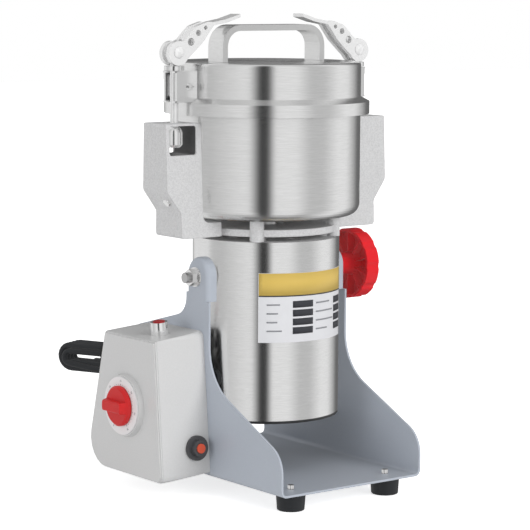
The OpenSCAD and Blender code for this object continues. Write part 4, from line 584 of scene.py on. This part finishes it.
def cord_curve(name, points, radius, material):
    curve = bpy.data.curves.new(name, "CURVE")
    curve.dimensions = "3D"
    curve.bevel_depth = radius
    curve.bevel_resolution = BEVEL_RESOLUTION
    curve.use_fill_caps = True
    spline = curve.splines.new("POLY")
    spline.points.add(len(points) - 1)
    for point, at in zip(spline.points, points):
        point.co = (*at, 1)
    spline.use_smooth = True
    made = bpy.data.objects.new(name, curve)
    bpy.context.scene.collection.objects.link(made)
    curve.materials.append(material)
    return made


route = cord_route()
cord = cord_curve("cord", route, CORD_R, looks["black_rubber"])
cord.visible_glossy = False
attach(cord, "stand")
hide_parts("power_cord", "cord_hank")

# Studio floor: white to the camera, with the mill's shadow
FLOOR_HALF = 6.0
FLOOR_DROP = 0.05 * MM
FLOOR_GLOW = 0.72


def make_floor():
    mesh = bpy.data.meshes.new("floor")
    corners = [(-FLOOR_HALF, -FLOOR_HALF, 0), (FLOOR_HALF, -FLOOR_HALF, 0),
               (FLOOR_HALF, FLOOR_HALF, 0), (-FLOOR_HALF, FLOOR_HALF, 0)]
    mesh.from_pydata(corners, [], [(0, 1, 2, 3)])
    made = bpy.data.objects.new("floor", mesh)
    made.location.z = -FLOOR_DROP
    made.visible_glossy = False
    bpy.context.scene.collection.objects.link(made)
    t = Tree("floor")
    t.set(Base_Color=grey(0.9), Roughness=0.6, Specular_IOR_Level=0.1)
    plain = t.shader.outputs[0]
    glow = t.node("ShaderNodeEmission", {"Color": grey(1), "Strength": FLOOR_GLOW})
    both = t.node("ShaderNodeAddShader", {0: plain, 1: glow.outputs[0]})
    path = t.node("ShaderNodeLightPath")
    only_seen = t.node("ShaderNodeMixShader", {0: path.outputs["Is Camera Ray"], 1: plain,
                                               2: both.outputs[0]})
    t.links.new(only_seen.outputs[0], t.nodes["Material Output"].inputs["Surface"])
    mesh.materials.append(t.material)
    return made


floor = make_floor()

# The studio round the horizon, as metal mirrors it. Each part runs from one angle to another at an
# even level, and fades into the next. Angles are from the camera's side, to the right.
ROOM = 0.54
STUDIO = [
    (-148, -104, 0.76),  # Soft box at the rear left
    (-92, -72, ROOM),
    (-30, -21, 0.76),  # Soft box at the front left
    (-8, 2, 0.03),  # Black flag by the camera
    (11, 37, 0.80),  # Soft box at the front right
    (56, 74, ROOM),
    (98, 116, 0.81),  # Soft box at the rear right
    (148, 184, 0.14),  # Dark rear
]
# Light that falls on all else, and what metal mirrors straight above and below
AMBIENT = 0.47
ROOF = 0.66
GROUND = 0.12
# The horizon gives way to roof or ground from this height of a direction, the faster the larger the gain
STEEP_FROM = 0.75
STEEP_GAIN = 4.0


def make_world():
    world = bpy.data.worlds.new("studio")
    bpy.context.scene.world = world
    world.use_nodes = True
    nodes, links = world.node_tree.nodes, world.node_tree.links
    nodes.clear()

    def add(kind, inputs=None, **settings):
        made = nodes.new(kind)
        for key, value in settings.items():
            setattr(made, key, value)
        for key, value in (inputs or {}).items():
            if hasattr(value, "is_output"):
                links.new(value, made.inputs[key])
            else:
                made.inputs[key].default_value = value
        return made

    def calc(operation, *values, **settings):
        return add("ShaderNodeMath", dict(enumerate(values)), operation=operation, **settings).outputs[0]

    def mix(*values):
        return add("ShaderNodeMix", dict(zip(MIX_SOCKETS, values)), data_type="RGBA").outputs[MIX_RESULT]

    way = add("ShaderNodeTexCoord").outputs["Generated"]
    x, y, z = add("ShaderNodeSeparateXYZ", {0: way}).outputs
    # Angle of the direction about +Z, measured from the camera's side of the mill
    side = math.atan2(CAMERA_AT.y - AXIS.y, CAMERA_AT.x - AXIS.x)
    angle = calc("SUBTRACT", calc("ARCTAN2", y, x), side)
    turn = calc("WRAP", angle, math.pi, -math.pi)
    share = calc("ADD", calc("DIVIDE", turn, 2 * math.pi), 0.5)
    ramp = add("ShaderNodeValToRGB", {0: share})
    stops = ramp.color_ramp.elements
    rear = STUDIO[-1][2]
    for stop, at in zip(stops, (0.0, 1.0)):
        stop.position = at
        stop.color = grey(rear)
    for begin, end, level in STUDIO:
        for degrees in (begin, end):
            at = (degrees / 360 + 0.5) % 1.0
            stops.new(at).color = grey(level)
    steep = calc("MULTIPLY", calc("SUBTRACT", calc("ABSOLUTE", z), STEEP_FROM), STEEP_GAIN, use_clamp=True)
    above = calc("GREATER_THAN", z, 0.0)
    plain = calc("ADD", calc("MULTIPLY", above, ROOF - GROUND), GROUND)
    mirrored = mix(steep, ramp.outputs[0], plain)
    path = add("ShaderNodeLightPath")
    lit = mix(path.outputs["Is Glossy Ray"], grey(AMBIENT), mirrored)
    seen = mix(path.outputs["Is Camera Ray"], lit, grey(1))
    background = add("ShaderNodeBackground", {0: seen})
    links.new(background.outputs[0], add("ShaderNodeOutputWorld").inputs[0])


make_world()


def sun(name, towards, strength, softness):
    """A soft lamp that shines in one direction. Its angular size is in degrees."""
    data = bpy.data.lights.new(name, "SUN")
    data.energy = strength
    data.angle = math.radians(softness)
    lamp = bpy.data.objects.new(name, data)
    lamp.rotation_mode = "QUATERNION"
    lamp.rotation_quaternion = Vector(towards).to_track_quat("-Z", "Y")
    lamp.visible_glossy = False
    bpy.context.scene.collection.objects.link(lamp)


sun("key", (-0.30, 1.0, -0.42), 1.50, 36)
sun("fill", (1.0, 0.14, -0.16), 0.74, 30)
sun("top", (0.1, 0.2, -1.0), 0.25, 60)

bpy.context.scene.view_settings.view_transform = "Standard"
